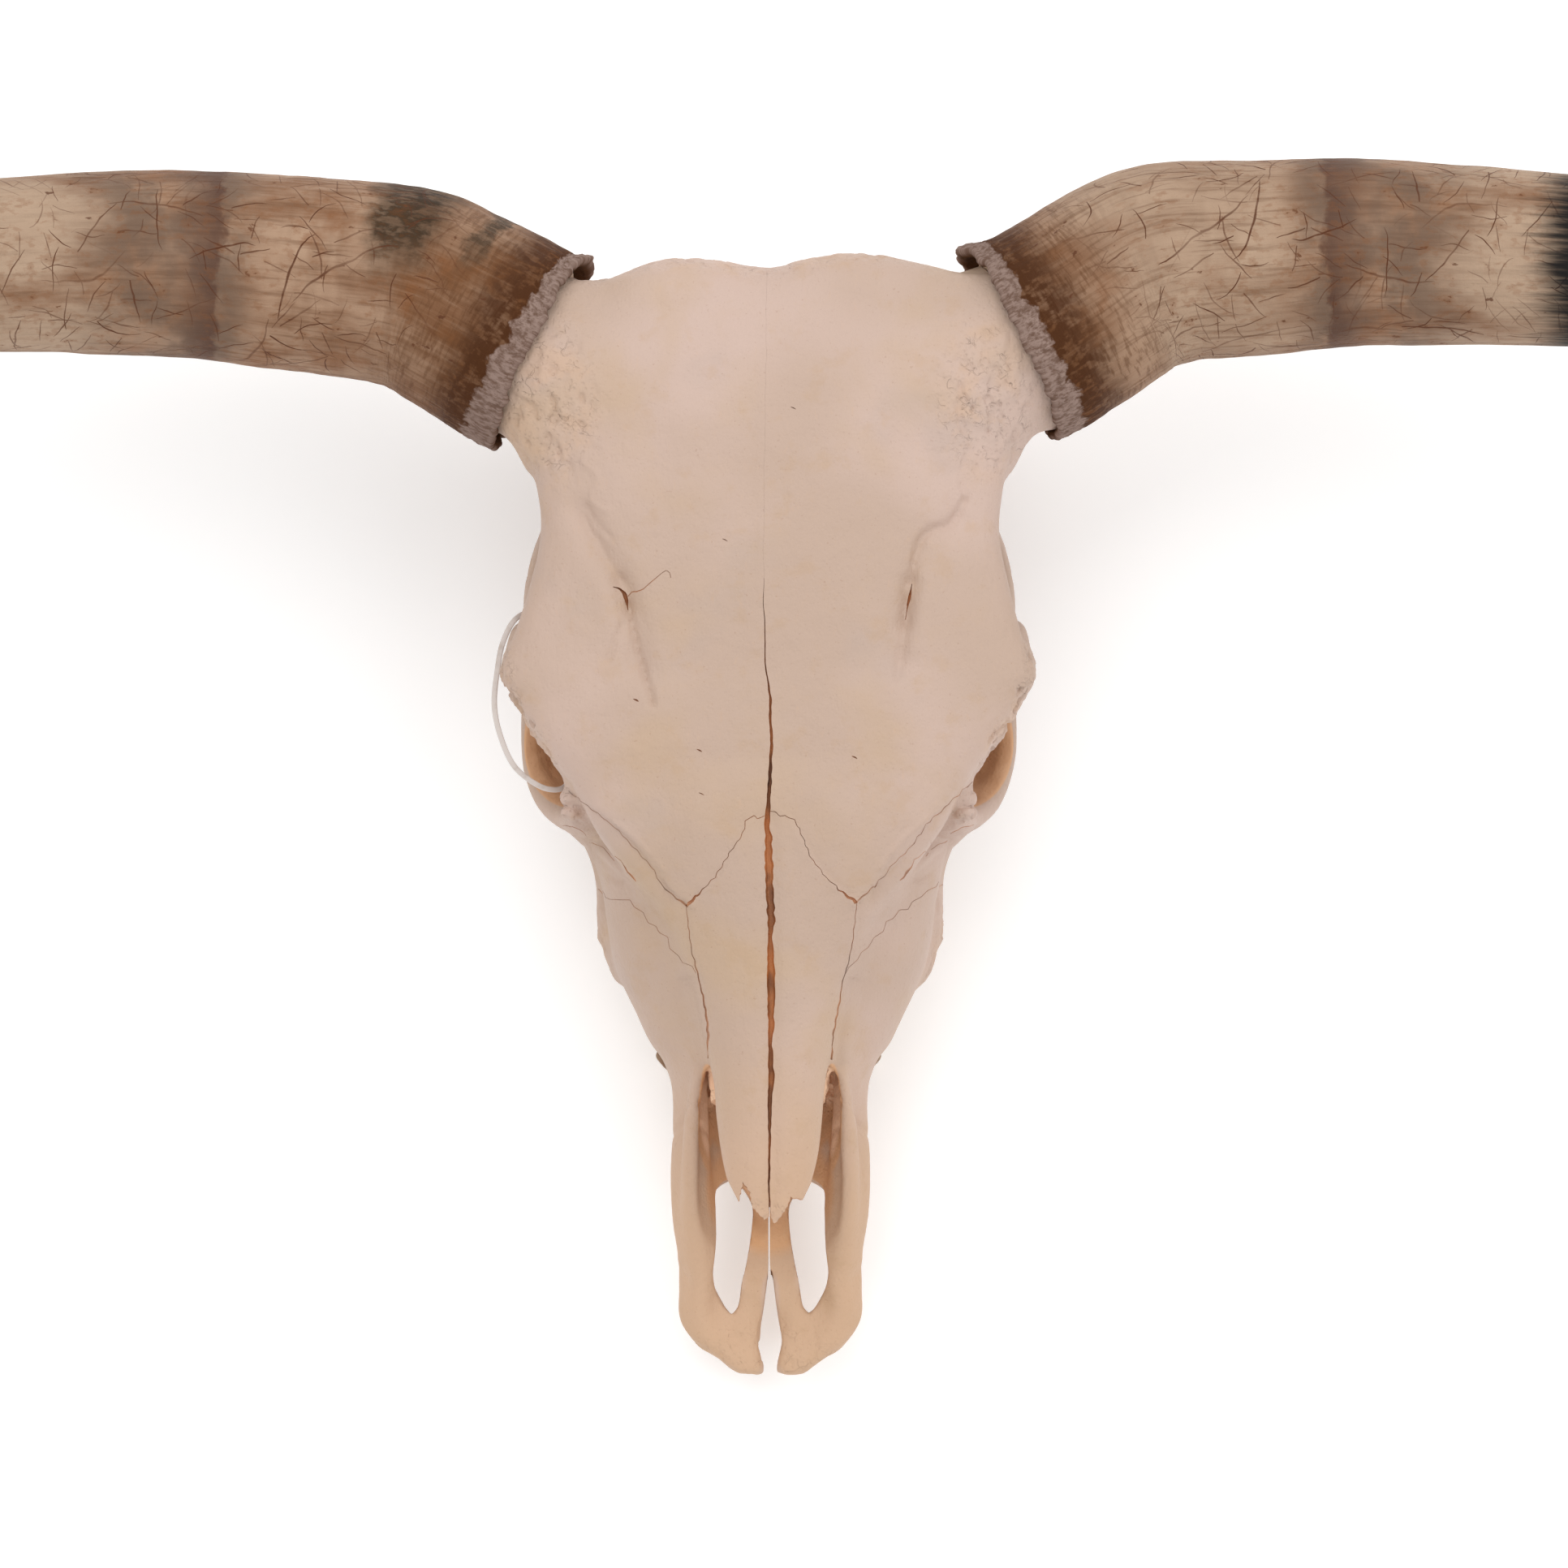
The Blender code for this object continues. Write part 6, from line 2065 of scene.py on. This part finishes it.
@dataclass(frozen=True)
class HornFinish:
    """Weathered horn: a grey torn rim, brown root, scratched tan body and a black tip."""

    name: str = "horn"
    rim: Row = tone(148, 126, 116)
    rim_dark: Row = tone(104, 80, 68)
    band: Row = tone(72, 40, 17)
    root: Row = tone(106, 66, 35)
    body: Row = tone(134, 100, 76)
    pale: Row = tone(168, 138, 114)
    ring: Row = tone(76, 47, 36)
    bleached: Row = tone(176, 153, 131)
    streak: Row = tone(96, 62, 37)
    grey: Row = tone(104, 84, 70)
    moss: Row = tone(50, 38, 24)
    rust: Row = tone(124, 77, 42)
    scratch: Row = tone(84, 46, 25)
    tip: Row = tone(24, 21, 20)
    inside: Row = tone(84, 56, 34)

    def scratches(self, kit: Kit, flat: Wire, shift: Row, scale: float, bend: float, share: float, wide: float) -> Wire:
        """Hair-thin scratches, one to each cell of a net, every one with its own direction.

        Args:
            flat: Coordinates round and along the horn, as if it were unrolled.
            shift: Where in the net to look.
            scale: Cells per metre.
            bend: How much the scratches are bent.
            share: The part of the cells that have a scratch.
            wide: Half its width in metres.

        Returns:
            How strong a scratch is at each place.
        """
        moved = flat + shift
        cell = kit.node("ShaderNodeTexVoronoi", {"Vector": moved, "Scale": scale}, voronoi_dimensions="2D")
        away = kit.parts(moved - cell["Position"])
        drawn = kit.node("ShaderNodeSeparateColor", {0: cell["Color"]})
        turn = drawn["Red"] * math.pi
        cosine, sine = turn.call("COSINE"), turn.call("SINE")
        across = away["X"] * cosine + away["Y"] * sine
        length = away["Y"] * cosine - away["X"] * sine
        across = across + length * length * ((drawn["Green"] - 0.5) * bend * scale)
        reach = (length * (scale * 1.9)).call("ABSOLUTE")
        width = wide * (1 - reach).call("MAXIMUM", 0.0) ** 0.5
        line = (across.call("ABSOLUTE") / (width + 0.000001)).step(1.0, 0.35)
        chosen = drawn["Blue"].step(1.0 - share, 1.05 - share)
        return line * reach.step(1.0, 0.9) * chosen * (0.45 + drawn["Green"] * 0.55)

    def build(self) -> Material:
        """Makes the material."""
        material, kit, place = start_finish(self.name)
        straight = attribute(kit, "straight", "Vector")
        along, inner = attribute(kit, "along"), attribute(kit, "inner")
        spot = kit.parts(place)
        blotch = kit.noise(straight, 30.0, 4.0, 0.6)
        wavy = along + (kit.noise(straight, 24.0, 3.0) - 0.5) * 0.016
        torn = along + (kit.noise(straight, 85.0, 4.0, 0.65) - 0.5) * 0.016
        fine = kit.noise(straight * (1.0, 1.0, 0.05), 420.0, 4.0, 0.62)
        broad = kit.noise(straight * (1.0, 1.0, 0.35), 36.0, 4.0, 0.6)
        lines = kit.noise(straight * (0.16, 0.16, 1.0), 520.0, 3.0, 0.6)
        rings = kit.noise(straight * (0.2, 0.2, 1.0), 46.0, 3.0, 0.6)
        specks = kit.noise(straight * (1.0, 1.0, 0.6), 240.0, 3.0, 0.6)
        colour = kit.mix(broad.step(0.36, 0.64), self.body, self.pale)
        side = (spot["X"] * 50.0).call("MINIMUM", 1.0).call("MAXIMUM", -1.0)
        right = side.step(-0.5, 0.5)
        colour = kit.layers(
            colour,
            ((wavy + right * 0.032).step(0.115, 0.035) * (0.4 + blotch.step(0.35, 0.65) * 0.55), self.root),
            (rings.step(0.52, 0.68) * wavy.step(0.23, 0.05) * 0.35, self.streak),
            (lines.step(0.48, 0.62) * wavy.step(0.1, 0.025) * 0.65, self.streak),
            (blotch.step(0.53, 0.68) * wavy.step(0.3, 0.1) * 0.55, self.rust),
            (right * wavy.step(0.04, 0.07) * wavy.step(0.16, 0.13) * 0.45, self.bleached),
            (fine.step(0.48, 0.68) * 0.42, self.streak), (fine.step(0.5, 0.34) * 0.16, self.pale),
        )
        greys = wavy.step(0.138, 0.16) * wavy.step(0.25, 0.205) * blotch.step(0.68, 0.4)
        colour = kit.mix(greys * 0.8, colour, self.grey)
        colour = kit.mix(wavy.step(0.205, 0.24) * broad.step(0.3, 0.55) * 0.6, colour, self.bleached)
        ring = torn.step(0.16, 0.1645) * wavy.step(0.192, 0.162)
        colour = kit.mix(ring * (0.4 + broad * 0.6), colour, self.ring)
        upper = spot["Y"].step(0.212, 0.246) * side.step(0.5, -0.5)
        wide_band, thin_band = (torn - 0.078).call("ABSOLUTE"), (torn - 0.046).call("ABSOLUTE")
        mossy = wide_band.step(0.02, 0.008) + thin_band.step(0.007, 0.003) * 0.8
        colour = kit.mix(mossy * upper * (0.62 + specks.step(0.38, 0.6) * 0.4), colour, self.moss)
        spotted = torn.step(0.042, 0.021) * (0.5 + specks.step(0.36, 0.54) * 0.5)
        colour = kit.mix(spotted * (0.75 + lines * 0.5), colour, self.band)
        colour = kit.mix(specks.step(0.66, 0.73) * 0.8, colour, self.scratch)
        flat = attribute(kit, "flat", "Vector")
        flat = kit.shaken(flat, 55.0, 0.006)
        hairs = self.scratches(kit, flat, (1.0, 1.0, 0.0), 17.0, 0.9, 0.6, 0.0009)
        families = ((22.0, 1.2, 0.5, 0.0009), (30.0, 0.6, 0.6, 0.0006), (36.0, 1.6, 0.5, 0.0006),
            (44.0, 0.6, 0.6, 0.0005), (54.0, 1.4, 0.7, 0.0005), (70.0, 0.8, 0.7, 0.0004))
        for k, family in enumerate(families):
            hairs = hairs.call("MAXIMUM", self.scratches(kit, flat, (2.0 + k, 3.1 * k, 0.0), *family))
        crowded = kit.noise(straight, 26.0, 2.0).step(0.36, 0.56)
        hairs = hairs * along.step(0.03, 0.07) * (0.5 + crowded * 0.5) * (0.65 + specks * 0.9)
        colour = kit.mix(crowded * along.step(0.04, 0.09) * specks.step(0.5, 0.62) * 0.3, colour, self.rust)
        colour = kit.mix(hairs * 0.95, colour, self.scratch)
        weathered = kit.noise(straight * (1.0, 1.0, 0.5), 520.0, 4.0, 0.7)
        edge = kit.mix(weathered.step(0.36, 0.62) * (0.55 + blotch * 0.6), self.rim_dark, self.rim)
        colour = kit.layers(
            colour,
            (torn.step(0.012, 0.0098), edge), ((wavy + fine * 0.03 + side * 0.01).step(0.282, 0.31), self.tip),
            (inner.step(0.35, 0.9), self.inside),
        )
        bumps = (
            (kit.noise(straight, 160.0, 4.0, 0.6), 0.0006), (weathered, 0.0003), (fine, 0.0005),
            (1 - hairs, 0.0001), (lines, 0.0003),
        )
        gloss = 0.54 - along.step(0.26, 0.4) * 0.16 + fine * 0.16 + along.step(0.03, 0.01) * 0.2
        end_finish(kit, colour, gloss, bumps, {"Specular IOR Level": 0.14})
        return material


@dataclass(frozen=True)
class ToothFinish:
    """Worn teeth: cream enamel, brown at the root and on the chewing face."""

    name: str = "tooth"
    enamel: Row = tone(216, 192, 164)
    tartar: Row = tone(120, 84, 52)
    dentine: Row = tone(168, 122, 84)

    def build(self) -> Material:
        """Makes the material."""
        material, kit, place = start_finish(self.name)
        mottled = kit.noise(place, 180.0, 4.0, 0.6)
        lines = kit.noise(place * (1.0, 1.0, 0.12), 700.0, 3.0)
        root, chew = attribute(kit, "root"), attribute(kit, "chew")
        colour = kit.mix(mottled.step(0.42, 0.66) * 0.7, self.enamel, self.tartar)
        colour = kit.mix(root * (0.4 + mottled * 0.6), colour, self.tartar)
        colour = kit.mix(chew * mottled.step(0.3, 0.6) * 0.6, colour, self.dentine)
        end_finish(kit, colour, 0.34 + mottled * 0.2, ((mottled, 0.0004), (lines, 0.0002)), {})
        return material


@dataclass(frozen=True)
class NylonFinish:
    """White nylon strap, a little dusty."""

    name: str = "nylon"
    white: Row = tone(206, 196, 190)
    dust: Row = tone(170, 152, 138)

    def build(self) -> Material:
        """Makes the material."""
        material, kit, place = start_finish(self.name)
        dusty = kit.noise(place, 160.0, 3.0)
        colour = kit.mix(dusty.step(0.5, 0.75) * 0.5, self.white, self.dust)
        weave = kit.noise(place, 1500.0, 2.0)
        end_finish(kit, colour, 0.38 + dusty * 0.15, ((weave, 0.0001),), {})
        return material


@dataclass(frozen=True)
class FloorFinish:
    """A plain pale sweep of paper."""

    name: str = "floor"
    paper: Row = tone(247, 247, 247)

    def build(self) -> Material:
        """Makes the material."""
        material, kit, place = start_finish(self.name)
        tooth = kit.noise(place, 900.0, 2.0)
        colour = kit.mix(tooth * 0.03, self.paper, tone(236, 236, 236))
        glow = {"Specular IOR Level": 0.1, "Emission Color": (1.0, 1.0, 1.0, 1.0), "Emission Strength": 0.2}
        end_finish(kit, colour, 0.9, (), glow)
        return material


# ------------------------------------------------------------------ floor, light and camera


@dataclass
class Studio:
    """The pale floor, the soft lights and the camera of the picture."""

    floor_reach: float = 9e3  # half the side of the floor
    aim: Row = (7.6, -244.2, 165.0)
    distance: float = 2400.0
    lean: float = 8.0  # how far the camera is tilted from straight down, in degrees
    half_view: float = 368.0  # half of what the picture shows at the aim's distance
    sky: float = 0.68  # strength of the white light from all round
    lamps: tuple[tuple[str, Row, float, float], ...] = (  # name, place in metres, size and power
        ("key", (-1.0, 1.6, 3.0), 3.0, 50.0), ("fill", (2.2, 0.4, 2.4), 3.0, 35.0),
        ("front", (-0.6, -2.4, 2.2), 2.6, 16.0),
    )

    def floor(self, finish: Material) -> Thing:
        """A wide plane under the skull."""
        rows = [(x * self.floor_reach, y * self.floor_reach, 0) for x, y in ((-1, -1), (1, -1), (1, 1), (-1, 1))]
        made = new_object("floor", mesh_from("floor", np.array(rows), np.array([[0, 1, 2, 3]])))
        made.data.materials.append(finish)
        return made

    def light(self, name: str, place: Row, size: float, power: float) -> None:
        """One soft square light that faces the skull."""
        lamp = bpy.data.lights.new(name, "AREA")
        lamp.shape, lamp.size, lamp.energy = "SQUARE", size, power
        made = new_object(name, lamp)
        target = Vector((0.0, 0.0, 0.1))
        made.location = Vector(place)
        made.rotation_euler = (target - made.location).to_track_quat("-Z", "Y").to_euler()

    def build(self, finish: Material) -> None:
        """Sets up the whole studio."""
        scene = bpy.context.scene
        self.floor(finish)
        for lamp in self.lamps:
            self.light(*lamp)
        world = bpy.data.worlds.new("studio")
        world.use_nodes = True
        sky = world.node_tree.nodes["Background"].inputs
        sky["Color"].default_value, sky["Strength"].default_value = (1.0, 1.0, 1.0, 1.0), self.sky
        scene.world = world
        scene.view_settings.view_transform = "Standard"
        lens = bpy.data.cameras.new("camera")
        lens.angle = 2 * math.atan(self.half_view / self.distance)
        lens.clip_end = 60.0
        camera = new_object("camera", lens)
        aim = Vector(to_frame(np.array(self.aim)))
        lean = math.radians(self.lean)
        camera.location = aim + Vector((0, -math.sin(lean), math.cos(lean))) * self.distance * MM
        camera.rotation_euler = (lean, 0.0, 0.0)
        scene.camera = camera


# ------------------------------------------------------------------ everything together


def hand_in(made: Thing, node: str, finish: Optional[Material] = None) -> None:
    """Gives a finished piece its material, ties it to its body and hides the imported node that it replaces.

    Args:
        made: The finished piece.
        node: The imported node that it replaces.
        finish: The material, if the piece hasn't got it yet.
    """
    if finish:
        made.data.materials.clear()
        made.data.materials.append(finish)
    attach(made, BODY)
    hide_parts(node)
    log.info("%s: %d faces", made.name, len(made.data.polygons))


def main() -> None:
    """Builds the skull, its horns, teeth and tie, and the studio round them."""
    logging.basicConfig(level=logging.INFO, format="%(relativeCreated)6d ms  %(message)s")
    bone, horn, tooth = BoneFinish().build(), HornFinish().build(), ToothFinish().build()
    nylon = NylonFinish().build()
    core = replace(BoneFinish(), name="core_bone", light=tone(196, 176, 152), middle=tone(172, 146, 118)).build()
    Studio().build(FloorFinish().build())
    cores = {word: HornCore(side, word) for side, word in SIDES}
    teeth = {word: Teeth(side, word) for side, word in SIDES}
    for name, made in Skull().build(cores.values(), teeth.values()).items():
        hand_in(made, name, bone)
    for side, word in SIDES:
        hand_in(cores[word].build(), f"horn_core_{word}", core)
        hand_in(HornSheath(side, word).build(horn), f"horn_sheath_{word}")
        hand_in(teeth[word].build(), f"cheek_teeth_{word}", tooth)
    hand_in(OrbitTie().build(nylon), "orbit_tie")


if __name__ == "__main__":
    main()
